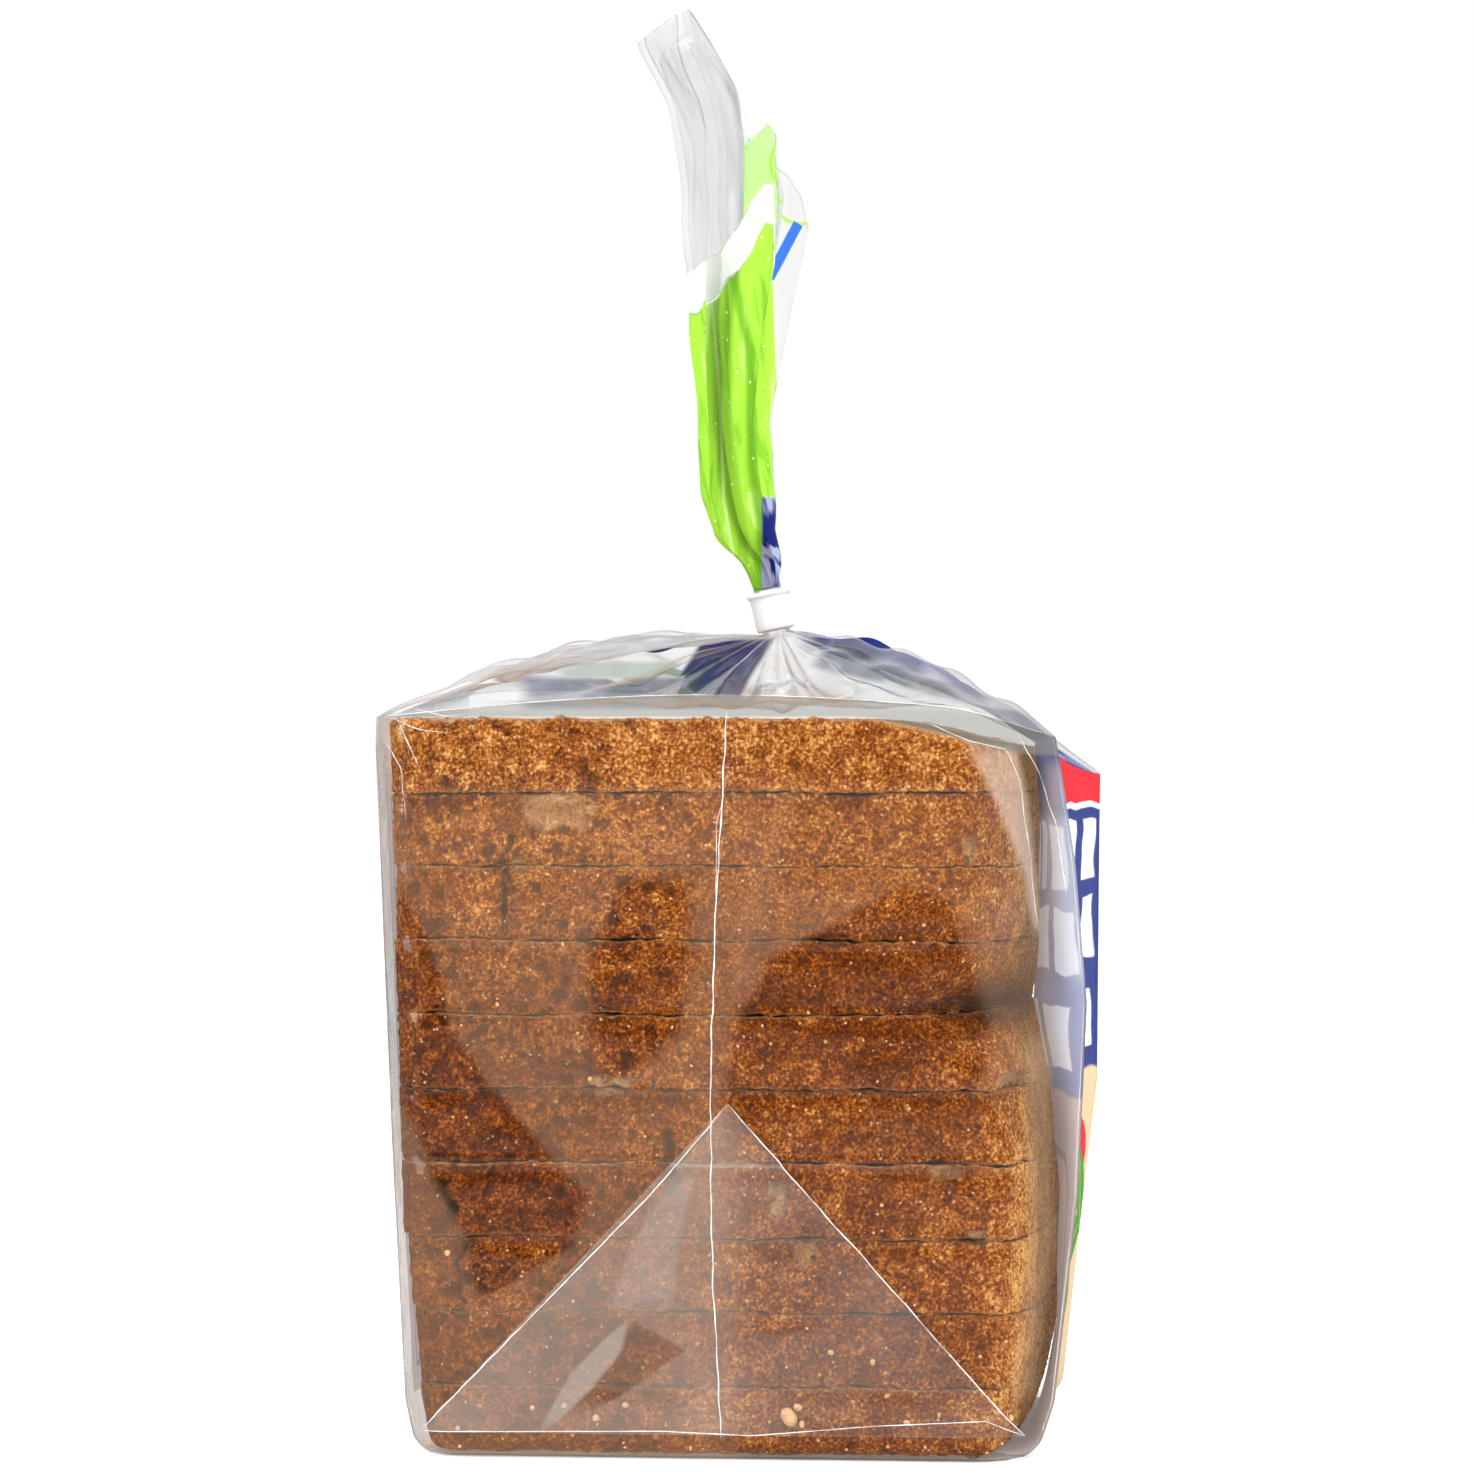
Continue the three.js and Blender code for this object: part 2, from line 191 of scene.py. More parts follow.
class Tree:
    def __init__(self, nodes, links):
        self.nodes = nodes
        self.links = links

    def node(self, kind, settings=None, inputs=None):
        made = self.nodes.new(kind)
        for name, value in (settings or {}).items():
            if name == "stops":
                ramp_stops(made.color_ramp, value)
            else:
                setattr(made, name, value)
        for name, value in (inputs or {}).items():
            socket = made.inputs[name]
            if isinstance(value, Value):
                self.links.new(value.socket, socket)
            elif isinstance(value, tuple) and socket.type == "RGBA":
                socket.default_value = (*value, 1)
            else:
                socket.default_value = value
        return Made(self, made)

    def paint(self, share, under, over):
        inputs = {0: share, 6: under, 7: over}
        return self.node("ShaderNodeMix", {"data_type": "RGBA"}, inputs).out(2)

    def attribute(self, name):
        return self.node("ShaderNodeAttribute", {"attribute_name": name}).out("Fac")

    def noise(self, place, scale, detail=2, rough=0.5, output=0):
        inputs = {"Vector": place, "Scale": scale, "Detail": detail, "Roughness": rough}
        return self.node("ShaderNodeTexNoise", None, inputs).out(output)

    def cells(self, place, scale):
        """How far a place lies from the middle of its cell, where each cell is about 1 / scale wide."""
        inputs = {"Vector": place, "Scale": scale}
        return self.node("ShaderNodeTexVoronoi", None, inputs).out("Distance")

    def scaled(self, vector, share):
        inputs = {0: vector, "Scale": share}
        return self.node("ShaderNodeVectorMath", {"operation": "SCALE"}, inputs).out()

    def parts(self, vector):
        """A vector's X, Y and Z, each as a Value."""
        split = self.node("ShaderNodeSeparateXYZ", None, {0: vector})
        return [split.out(axis) for axis in "XYZ"]

    def stretched(self, place, along_z):
        """A place whose height counts for less, so that a noise read there runs up and down."""
        inputs = {"Vector": place, "Scale": (1, 1, along_z)}
        return self.node("ShaderNodeMapping", None, inputs).out()

    def is_ray(self, kind):
        return self.node("ShaderNodeLightPath").out(f"Is {kind} Ray")

    def see_through(self, share=1):
        inputs = {"Color": (share, share, share)}
        return self.node("ShaderNodeBsdfTransparent", None, inputs).out()


def ramp_stops(ramp, stops):
    while len(ramp.elements) < len(stops):
        ramp.elements.new(0.5)
    for element, (position, colour) in zip(ramp.elements, stops):
        element.position = position
        element.color = (*colour, 1)


def new_finish(name):
    """An empty material and the tree that its nodes go in."""
    material = bpy.data.materials.new(name)
    material.use_nodes = True
    material.node_tree.nodes.clear()
    return material, Tree(material.node_tree.nodes, material.node_tree.links)


def object_place(tree):
    return tree.node("ShaderNodeTexCoord").out("Object")


def bump(tree, height, strength, distance):
    inputs = {"Height": height, "Strength": strength, "Distance": distance}
    return tree.node("ShaderNodeBump", None, inputs).out("Normal")


def show(tree, shader):
    tree.node("ShaderNodeOutputMaterial", None, {"Surface": shader})


def plastic(tree, colour, roughness, normal=None, **more):
    inputs = {"Base Color": colour, "Roughness": roughness, **more}
    if normal is not None:
        inputs["Normal"] = normal
    return tree.node("ShaderNodeBsdfPrincipled", None, inputs).out("BSDF")


def lit(colour, strength):
    """Inputs for a dull finish that gives off some light of its own."""
    return {"Specular IOR Level": 0, "Emission Color": colour, "Emission Strength": strength}


def blend(tree, share, under, over):
    return tree.node("ShaderNodeMixShader", None, {0: share, 1: under, 2: over}).out()


# %% [markdown]
# A mesh is made from arrays of points, which is quick even for the fine crust. Each film panel
# is a grid that is bent into place; each slice is a tube of rings closed by two cut faces.


# %% Mesh helpers
def new_piece(name, points, faces, finishes, attributes=None):
    mesh = bpy.data.meshes.new(name)
    mesh.from_pydata(np.asarray(points) * MM, [], faces)
    for key, values in (attributes or {}).items():
        layer = mesh.attributes.new(key, "FLOAT", "POINT")
        layer.data.foreach_set("value", np.asarray(values, np.float32).ravel())
    for finish in finishes:
        mesh.materials.append(finish)
    mesh.polygons.foreach_set("use_smooth", np.ones(len(mesh.polygons), bool))
    piece = bpy.data.objects.new(name, mesh)
    bpy.context.scene.collection.objects.link(piece)
    return piece


def grid_faces(rows, columns, wrap=False):
    i, j = np.meshgrid(np.arange(rows - 1), np.arange(columns if wrap else columns - 1), indexing="ij")
    a = i * columns + j
    b = i * columns + (j + 1) % columns
    return np.stack([a, b, b + columns, a + columns], -1).reshape(-1, 4)


def apply_modifiers(piece):
    """Turns what the modifiers give into a plain mesh of the same piece."""
    graph = bpy.context.evaluated_depsgraph_get()
    plain = bpy.data.meshes.new_from_object(piece.evaluated_get(graph))
    piece.modifiers.clear()
    piece.data = plain


def stands_for(piece, node):
    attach(piece, "root")
    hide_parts(node)


def make_wall(piece, inner_finish):
    """Turns a sheet of film into a closed wall of its real thickness."""
    wall = piece.modifiers.new("thickness", "SOLIDIFY")
    wall.thickness = FILM * MM
    wall.offset = -1
    wall.material_offset = inner_finish
    apply_modifiers(piece)
    stands_for(piece, "bag")
    print(piece.name, len(piece.data.polygons), "faces")


# %% [markdown]
# What follows a rule over thousands of points is left to Geometry Nodes. Both trees below take
# a mesh, a few named numbers and a material, and end by making instances real and setting that
# material, so the start and the end of a tree are written once.


# %% Geometry Nodes helpers
def new_group(name, numbers):
    """An empty tree with named number inputs, and its group input node."""
    group = bpy.data.node_groups.new(name, "GeometryNodeTree")
    wanted = [("Geometry", "Geometry"), *((number, "Float") for number in numbers), ("Material", "Material")]
    for label, kind in wanted:
        group.interface.new_socket(label, in_out="INPUT", socket_type=f"NodeSocket{kind}")
    group.interface.new_socket("Geometry", in_out="OUTPUT", socket_type="NodeSocketGeometry")
    tree = Tree(group.nodes, group.links)
    return group, tree, tree.node("NodeGroupInput")


def named_number(tree, name):
    kind = "GeometryNodeInputNamedAttribute"
    return tree.node(kind, {"data_type": "FLOAT"}, {"Name": name}).out()


def push_along_normal(tree, geometry, distance):
    offset = tree.scaled(tree.node("GeometryNodeInputNormal").out(), distance)
    inputs = {"Geometry": geometry, "Offset": offset}
    return tree.node("GeometryNodeSetPosition", None, inputs).out()


def make_real(tree, geometry):
    return tree.node("GeometryNodeRealizeInstances", None, {"Geometry": geometry}).out()


def end_group(tree, geometry, given):
    inputs = {"Geometry": geometry, "Material": given.out("Material")}
    done = tree.node("GeometryNodeSetMaterial", None, inputs).out()
    tree.node("NodeGroupOutput", None, {"Geometry": done})


def run_group(piece, group, values):
    """Runs a tree on a piece, with its inputs set by their identifiers."""
    modifier = piece.modifiers.new(group.name, "NODES")
    modifier.node_group = group
    for item in group.interface.items_tree:
        if item.in_out == "INPUT" and item.name in values:
            modifier[item.identifier] = values[item.name]
    apply_modifiers(piece)


# %% [markdown]
# The slices come from one loaf, so one rule gives the outline of the loaf at any height: a
# straight base crust, flat sides from the tin, and a dome that swells past the rim. Two pieces
# of dough met at one height, where the dome is pinched. Each slice then takes its own stretch
# of that loaf, shifted a little, with torn edges where the knife went through.

# %% The loaf's outline
BASE_CRUST = ([0, 10, 40, 90, STACK], [-53.2, -54.8, -57.4, -59.3, -60.2])
DOME_TOP = (
    [0, 6.5, 19.5, 32.5, 45.5, 58.5, 66, 72, 79.3, 86, 97.5, 110.5, 120, STACK],
    [49, 51.5, 54.2, 54.8, 54.8, 54, 53.2, 52.1, 50.7, 51.5, 52.1, 52.3, 52.1, 51.2],
)
CRUST_GAP = 1.1
BASE_CORNER = 7
DOME_POWER = 3.6
PINCH_Z = 79.3
PINCH_REACH = 12
PINCH_DEEP = 15
PINCH_POWER = 1.4
COLUMNS = 1000
ROWS = 30


def stack_shift(z):
    s = np.sin(np.floor(np.clip(z / SLICE, 0, SLICES - 1)) * 127.1 + 11.7) * 43758.5453
    return SLICE_SHIFT * (2 * (s - np.floor(s)) - 1)


def loaf_outline(z):
    back = along(BASE_CRUST, z)
    top = along(DOME_TOP, z)
    shoulder = along(FLAT_END, z) - 1
    half = GUSSET_Y - CRUST_GAP - stack_shift(min(z, STACK - 1))
    pinch = max(0, 1 - abs(z - PINCH_Z) / PINCH_REACH) ** 1.6
    shoulder = min(shoulder - PINCH_DEEP * pinch, top - 4.5)
    power = mix(DOME_POWER, PINCH_POWER, pinch)
    corner = np.linspace(0, math.pi / 2, 24)
    dome = np.linspace(-math.pi / 2, 0, 400)
    x = np.concatenate(
        [
            [back],
            back + BASE_CORNER * (1 - np.cos(corner)),
            shoulder + (top - shoulder) * np.cos(dome),
        ]
    )
    y = np.concatenate(
        [
            [0],
            -(half - BASE_CORNER) - BASE_CORNER * np.sin(corner),
            -half * np.abs(np.sin(dome)) ** (2 / power),
        ]
    )
    x = np.concatenate([x, x[-2:0:-1]])
    y = np.concatenate([y, -y[-2:0:-1]])
    x = np.append(x, x[0])
    y = np.append(y, y[0])
    run = np.concatenate([[0], np.cumsum(np.hypot(np.diff(x), np.diff(y)))])
    at = np.linspace(0, run[-1], COLUMNS, endpoint=False)
    return np.stack([np.interp(at, run, x), np.interp(at, run, y)], -1)


# %% [markdown]
# A tin loaf's sides tear a little when it is cut: a few bites are gone at the joints, where
# the paler crumb shows, and a few cracks run down the crust. They are placed where the near
# side shows them, and the far side has its own.

# %% Bites and cracks
# x, z, half width, half height and depth of each bite
NEAR_BITES = [
    (-29.5, 113.8, 6.2, 3.2, 0.7),
    (-20, 65.5, 4.2, 1.6, 1.6),
    (38.5, 51.2, 2.6, 1.5, 2.2),
    (44.5, 39.5, 1.8, 1.2, 1.6),
    (50, 66, 2.4, 1.6, 1.8),
    (43.2, 106.8, 1.3, 2.3, 1.6),
    (-36.5, 104, 1.2, 1.4, 1.4),
    (9.5, 46, 1.6, 3.4, 1.5),
    (14, 36, 2.2, 2, 1.4),
]
FAR_BITES = [
    (-40, 91, 5, 2.2, 1.2),
    (12, 65, 5, 1.8, 1.6),
    (34, 38.5, 3, 1.6, 2),
    (-12, 26, 2.4, 2, 1.5),
    (40, 104, 2.4, 2.6, 1.3),
]
# x, lower z, upper z and half width of each crack
NEAR_CRACKS = [
    (-39.5, 92.5, 102, 0.35),
    (-38.8, 101, 109.5, 0.45),
    (-49, 39.5, 49, 0.9),
    (-9.5, 46, 58, 0.8),
    (-47, 27, 38, 0.5),
]
FAR_CRACKS = [(-30, 66, 76, 0.6), (22, 92, 102, 0.5)]
CRACK_DEPTH = 1.3


def bitten(points, side, bites, cracks):
    """How deep each point is bitten, how bare its crumb is, and how cracked, on one side."""
    x, y, z = points[..., 0], points[..., 1], points[..., 2]
    on_side = (y * side > 35).astype(float)
    ragged = 0.2 * sine_noise(11, (x, 7), (z, 6))
    deep = np.zeros(x.shape)
    bare = np.zeros(x.shape)
    cracked = np.zeros(x.shape)
    for at_x, at_z, wide, high, depth in bites:
        off = (np.abs((x - at_x) / wide) ** 4 + np.abs((z - at_z) / high) ** 4) ** 0.25 + ragged
        gone = (1 - ease(off, 0.85, 1.08)) * on_side
        deep = np.maximum(deep, depth * gone)
        bare = np.maximum(bare, gone)
    for at_x, low, high, wide in cracks:
        line = at_x + 0.9 * sine_noise(int(low), (z, 9))
        open_ = (1 - ease(np.abs(x - line), 0.4 * wide, 1.5 * wide)) * on_side
        open_ = open_ * ease(z, low - 1, low + 1) * (1 - ease(z, high - 1, high + 1))
        deep = np.maximum(deep, CRACK_DEPTH * open_)
        cracked = np.maximum(cracked, open_)
    return deep, bare, cracked


# %% [markdown]
# The relief of the crust follows a rule, so Geometry Nodes make it: fine grain everywhere,
# slower lumps, and open pores that crowd towards the base crust, where the tin's fat fried the
# dough. The tree also stores how deep in a pore each point lies, for the colour to follow, so
# that hollows get painted shade.


# %% Crust relief
LARGE_PORE = 0.0034  # metres across, as the shader's own places are
SMALL_PORE = 0.0015
LUMP_SCALE = 170
RELIEF = {"Grain size": 0.0011, "Grain depth": 0.0009, "Lump depth": 0.0011, "Pore depth": 0.0007}


def pore_pattern(tree, place, coarse):
    """How deep in an open pore a place lies, from 0 to 1; coarse says where pores are large."""
    swirl = tree.scaled(tree.noise(place, 420, output=1), 0.0016)
    warped = tree.node("ShaderNodeVectorMath", {"operation": "ADD"}, {0: place, 1: swirl}).out()
    large_gate = tree.noise(place, 230, 1).step(0.42, 0.54)
    large = 1 - tree.cells(warped, 1 / LARGE_PORE).step(0.12, 0.46)
    small_gate = tree.noise(place, 330, 1).step(0.40, 0.54) * (coarse * 0.6 + 0.2)
    small = 1 - tree.cells(warped, 1 / SMALL_PORE).step(0.10, 0.38)
    return (large * large_gate * coarse).most(small * small_gate)


def crust_relief():
    group, tree, given = new_group("crust_relief", RELIEF)
    place = tree.node("GeometryNodeInputPosition").out()
    grain = tree.noise(place, given.out("Grain size") ** -1, 3, 0.6) - 0.5
    lumps = tree.noise(place, LUMP_SCALE) - 0.5
    pore = pore_pattern(tree, place, named_number(tree, "coarse"))
    height = grain * given.out("Grain depth") + lumps * given.out("Lump depth")
    height = height - pore * given.out("Pore depth")
    stored = tree.node(
        "GeometryNodeStoreNamedAttribute",
        {"data_type": "FLOAT", "domain": "POINT"},
        {"Geometry": given.out("Geometry"), "Name": "relief", "Value": height * 1000},
    ).out()
    end_group(tree, make_real(tree, push_along_normal(tree, stored, height)), given)
    return group


relief_group = crust_relief()
print("crust relief", len(relief_group.nodes), "nodes")

# %% [markdown]
# Crust is not one brown: it is fine grains from dark to golden, slower blotches and pale flecks
# of bran. Pores and cracks get painted shade, and hollows of the relief are darker, partly as
# grain and partly as painted shade. Crumb is paler and greyer. The two are one material, and the
# slice says by an attribute where its crumb is bare, so the change is sharp at the knife's edge.

# %% Bread finish
bread, tree = new_finish("bread")
place = object_place(tree)
pore = pore_pattern(tree, place, tree.attribute("coarse"))
bare = tree.attribute("bare")
crack = tree.attribute("crack")
# The tone carries painted light on the dome's end and painted shade in the pinched notch.
tone = tree.attribute("tone")
fine = tree.noise(place, 1700, 3, 0.65)
blotch = tree.noise(place, 430, 3, 0.55)
slow = tree.noise(place, 55, 2)
relief = tree.attribute("relief")
# The relief darkens hollows and lightens ridges: partly grain, partly painted shade.
bake_and_painted_light = fine * 1.28 + blotch * 0.40 + slow * 0.2 - 0.455 + tone + relief * 0.32
crust_stops = [
    (0.20, (0.040, 0.008, 0.0012)),
    (0.38, (0.085, 0.018, 0.0022)),
    (0.52, (0.165, 0.039, 0.0036)),
    (0.66, (0.300, 0.098, 0.0140)),
    (0.84, (0.560, 0.300, 0.0950)),
]
crust_colour = tree.node("ShaderNodeValToRGB", {"stops": crust_stops}, {"Fac": bake_and_painted_light}).out("Color")
fleck_gate = tree.noise(place, 800, 1).step(0.52, 0.62)
fleck = (1 - tree.cells(place, 620).step(0.10, 0.22)) * fleck_gate
crust_colour = tree.paint(fleck * 0.6, crust_colour, (0.70, 0.47, 0.24))
crumb_stops = [
    (0.30, (0.170, 0.070, 0.022)),
    (0.48, (0.330, 0.165, 0.065)),
    (0.68, (0.560, 0.340, 0.165)),
]
crumb_mix = fine * 0.5 + blotch * 0.5
crumb_colour = tree.node("ShaderNodeValToRGB", {"stops": crumb_stops}, {"Fac": crumb_mix}).out("Color")
colour = tree.paint(bare * 0.75, crust_colour, crumb_colour)
# Painted shade: pores and cracks are darkened, as shade falls in them.
colour = tree.paint(pore * 0.5, colour, (0.070, 0.020, 0.0032))
colour = tree.paint(crack * 0.8, colour, (0.035, 0.011, 0.003))
grain_bump = bump(tree, fine * 0.7 + blotch * 0.6 - pore * 1.8, 0.7, 0.0008)
show(tree, plastic(tree, colour, 0.9, grain_bump, **{"Specular IOR Level": 0.04}))


# %% [markdown]
# Each slice is a tube of rings: the sides follow the loaf's outline between two wavy knife
# cuts, with a torn edge below and a sharper one above, and rings that shrink to the middle
# close both faces. Four numbers ride on its points for the finish: where crumb is bare, where
# the crust is cracked, how coarse its pores are, and how dark it baked, with painted light on
# the dome's end and painted shade in the pinched notch.


# %% Slices
LOAF_MIDDLE = np.array([-3, 0])
CUT_SHARES = [0.995, 0.985, 0.965, 0.92, 0.84, 0.7, 0.5, 0.25]
TOP_SHARES = list(1 - np.linspace(0, 1, 46)[1:-1] ** 1.15)  # finer, since the top face is seen
TOP_DROOP = 6
RUN = np.arange(COLUMNS) * (460 / COLUMNS)
TURN = 2 * math.pi * np.arange(COLUMNS) / COLUMNS


def knife_cuts(index):
    """The heights of a slice's lower and upper edge all round, and how far each edge is torn."""

    def joint(level):
        wave = 0.28 * sine_noise(70 + level, (np.cos(TURN) * 60, 33), (np.sin(TURN) * 60, 28))
        return level * SLICE + wave + 0.16 * sine_noise(90 + level, (RUN, 4.2))

    low = joint(index) + np.maximum(0.03, 0.07 + 0.13 * sine_noise(200 + index, (RUN, 17)))
    high = joint(index + 1) - np.maximum(0.03, 0.07 + 0.13 * sine_noise(300 + index, (RUN, 19)))
    torn = np.maximum(0.12, 0.38 + 0.3 * sine_noise(400 + index, (RUN, 6)))
    sharp = 0.3
    if index == 0:
        low, torn = np.full(COLUMNS, 0.9), torn + 2.6
    if index == SLICES - 1:
        high = STACK - 0.2 + 0.5 * sine_noise(500, (RUN, 13)) + 0.3 * sine_noise(501, (RUN, 4))
        sharp = 1
    return low, high, torn, sharp


def cut_face(ring, level, shares):
    """Rings that shrink from a slice's edge to its middle and flatten out to one level."""
    rings = []
    for share in shares:
        inner = LOAF_MIDDLE + (ring[:, :2] - LOAF_MIDDLE) * share
        height = mix(level, ring[:, 2], max(0, 1 - (1 - share) * 12))
        rings.append(np.concatenate([inner, height[:, None]], -1))
    return np.stack(rings)


def crust_tone_and_painted_light(x, z, start):
    """How much lighter or darker the crust is over the loaf: its baked tone, with painted light on the
    dome's end and painted shade in the pinched notch.
    """
    tone = start + 0.07 * ease(z, STACK - SLICE - 1, STACK - SLICE + 1) + 0.05 * ease(z, 85, 110)
    tone = tone + 0.02 * ease(x, 20, 46) * (1 - ease(z, 50, 66))
    tone = tone - 0.08 * (1 - ease(x, -40, 0)) * (1 - ease(z, 70, 90))
    # Painted light: the dome's end is lightened where it lies in shade behind the print.
    tone = tone + 0.11 * ease(x, 43, 49) + 0.11 * ease(x, 48.5, 51.5)
    middle = ease(x, -2, 6) * (1 - ease(x, 34, 42)) * ease(z, 60, 68) * (1 - ease(z, 90, 98))
    # Painted shade: the pinched notch between the two pieces of dough is darkened.
    notch = np.clip(1 - np.abs(z - PINCH_Z) / 5, 0, 1) * ease(x, 36, 45)
    return tone - 0.26 * notch - 0.05 * middle


def slice_rings(index):
    """The rings of one slice, from the middle of its lower cut face to that of its upper one."""
    draw = np.random.default_rng(40 + index)
    low_z, high_z = index * SLICE, (index + 1) * SLICE
    share = np.linspace(0, 1, ROWS)
    share = mix(share, 0.5 - 0.5 * np.cos(math.pi * share), 0.45)
    outlines = np.stack([loaf_outline(mix(low_z + 0.3, high_z - 0.3, s)) for s in share])
    low, high, torn, sharp = knife_cuts(index)
    z = low[None, :] + (high - low)[None, :] * share[:, None]
    edge = np.minimum(z - low, np.maximum(high - z, 0))
    radius = np.where((z - low) < (high - z), torn, sharp)
    inset = radius * (1 - np.sqrt(np.clip(1 - (1 - np.clip(edge / radius, 0, 1)) ** 2, 0, 1)))
    ahead = np.roll(outlines, -1, axis=1) - np.roll(outlines, 1, axis=1)
    outward = np.stack([ahead[..., 1], -ahead[..., 0]], -1)
    outward /= np.linalg.norm(outward, axis=-1, keepdims=True)
    sides = np.concatenate([outlines, z[..., None]], -1)
    near = bitten(sides, -1, NEAR_BITES, NEAR_CRACKS)
    far = bitten(sides, 1, FAR_BITES, FAR_CRACKS)
    deep, bare, crack = (np.maximum(a, b) for a, b in zip(near, far))
    sides[..., :2] -= outward * (inset + deep)[..., None]
    spin = math.radians(draw.uniform(-0.35, 0.35))
    shift = draw.uniform(-0.35, 0.35)

    lower = cut_face(sides[0], low.mean(), CUT_SHARES)[::-1]
    upper = cut_face(sides[-1], high.mean(), TOP_SHARES if index == SLICES - 1 else CUT_SHARES)
    rings = np.concatenate([lower, sides, upper])
    bare = np.maximum(bare, (1 - ease(edge, 0, 0.5)) * 0.35)
    bare = np.concatenate([np.ones(lower.shape[:2]), bare, np.ones(upper.shape[:2])])
    crack = np.concatenate([np.zeros(lower.shape[:2]), crack, np.zeros(upper.shape[:2])])
    x, y, z = (rings[..., axis].copy() for axis in range(3))
    if index == SLICES - 1:
        z -= TOP_DROOP * ease(x, 20, 56) * np.clip((z - low_z) / SLICE, 0, 1)
    x, y = x * math.cos(spin) - y * math.sin(spin) + shift, x * math.sin(spin) + y * math.cos(spin)
    coarse = np.maximum(1 - ease(x, -28, 18), 0.25)
    coarse = np.maximum(coarse, bare * 0.8)
    tone = crust_tone_and_painted_light(x, z, draw.uniform(-0.02, 0.02))
    return np.stack([x, y, z], -1), {"bare": bare, "crack": crack, "coarse": coarse, "tone": tone}


def make_slice(index):
    rings, attributes = slice_rings(index)
    points = np.concatenate([rings.reshape(-1, 3), [rings[0].mean(0), rings[-1].mean(0)]])
    here = np.arange(COLUMNS)
    ahead = (here + 1) % COLUMNS
    last = (len(rings) - 1) * COLUMNS
    low_hub = np.full(COLUMNS, len(rings) * COLUMNS)
    low_fan = np.stack([ahead, here, low_hub], -1)
    high_fan = np.stack([last + here, last + ahead, low_hub + 1], -1)
    faces = grid_faces(len(rings), COLUMNS, wrap=True).tolist() + low_fan.tolist() + high_fan.tolist()
    values = {key: np.append(v.ravel(), [v[0, 0], v[-1, 0]]) for key, v in attributes.items()}
    piece = new_piece(f"slice_{index + 1:02d}", points, faces, [bread], values)
    run_group(piece, relief_group, {**RELIEF, "Material": bread})
    stands_for(piece, "bag")
    return piece


for slice_index in range(SLICES):
    loaf_slice = make_slice(slice_index)
print("slices", SLICES, "with", len(loaf_slice.data.polygons), "faces in the top one")

# %% [markdown]
# The bag is one tube of film with four panels: a clear gusset towards the photograph, the
# printed front, a clear gusset behind, and the back label. A place on it is a panel number
# plus a share across that panel, so 0 to 4 goes once round. The rules below bend the tube
# into a body, a shoulder, a neck and a tail, and the same numbers tell the print where it is.

# %% Film paths
TOP_LIP = 4
BACK_LIFT = 5
DROOP_DEEP = 11
NEAR_DROOP = 0.25
DRAWN_IN = ([0, 20, 45, 60, 79, 95, 110, STACK], [51.5, 55.5, 56, 55.1, 51.1, 52.5, 53, 52.4])
JOINT_DIP = 0.35
JOINT_HALF = 3
NECK_PAST = 0.6
SWELL = 4.2
GUSSET_SINK = 5.5
RIPPLES = 5.5  # pleats in each panel of the gathered neck


def gusset_reach(x, z, front):
    """How far out a gusset's film lies over the crust at a place on the side of the loaf."""
    back = along(BACK_CREASE, z)
    flat = along(FLAT_END, z)
    back_round = (GUSSET_Y - BACK_CORNER_Y) * (1 - np.clip((x - back) / BACK_ROUNDING, 0, 1)) ** 2
    share = np.clip((x - flat) / (front - flat), 0, 1)
    clings = 1 - ease(share, 0.1, 0.8)
    joint = np.clip(np.round(z / SLICE), 1, SLICES - 1)
    dip = JOINT_DIP * np.clip(1 - np.abs(z - joint * SLICE) / JOINT_HALF, 0, 1)
    dip = dip * np.clip(0.55 + 0.5 * sine_noise(801, (x, 40), (z, 60)), 0, 1)
    lean = stack_shift(z) * clings * ease(x, back, back + 8)
    ripple = 0.16 * sine_noise(802, (x, 31), (z, 47)) * clings
    reach = GUSSET_Y - back_round - (GUSSET_Y - FRONT_CORNER_Y) * share**1.5
    return reach - dip * clings - lean - np.abs(ripple)


def panel_of(place):
    """Which panel a place is on, what share of it lies before, and whether it is a gusset."""
    panel = np.clip(np.floor(place), 0, 3)
    return panel, place - panel, (panel == 0) | (panel == 2)


def wall_points(place, z):
    """Points of the body of the bag, with one row for each height."""
    place, z = np.broadcast_arrays(place, z)
    panel, share, _ = panel_of(place)
    back = along(BACK_CREASE, z)
    near_front, far_front = along(FRONT_NEAR, z), along(FRONT_FAR, z)
    inset = END_INSET * (1 - np.sqrt(np.clip(1 - (1 - np.clip(z / END_ROUND, 0, 1)) ** 2, 0, 1)))
    hand = np.where(panel == 0, -1, 1)
    front = np.where(panel == 0, near_front, far_front)
    gusset_x = mix(back, front, np.where(panel == 0, share, 1 - share))
    gusset_y = hand * (gusset_reach(gusset_x, z, front) - inset)
    gusset_x = np.clip(gusset_x, back + inset, front - inset)
    front_y = mix(-FRONT_CORNER_Y, FRONT_CORNER_Y, share) * (1 - inset / FRONT_CORNER_Y)
    hollow = (near_front + far_front) / 2 - along(DRAWN_IN, z)
    front_x = mix(near_front, far_front, share) - hollow * (1 - np.abs(2 * share - 1) ** 3) - inset
    wave = 0.35 * sine_noise(803, (front_y, 60), (z, 38)) * np.sin(math.pi * share)
    back_y = mix(BACK_CORNER_Y, -BACK_CORNER_Y, share) * (1 - inset / BACK_CORNER_Y)
    x = np.select([panel == 1, panel == 3], [front_x + wave, back + inset], gusset_x)
    y = np.select([panel == 1, panel == 3], [front_y, back_y], gusset_y)
    sag = DROOP_DEEP * mix(NEAR_DROOP, 1, (y + GUSSET_Y) / (2 * GUSSET_Y)) * ease(x, 38, 60)
    return np.stack([x, y, z - sag * (z / STACK) ** 8], -1)


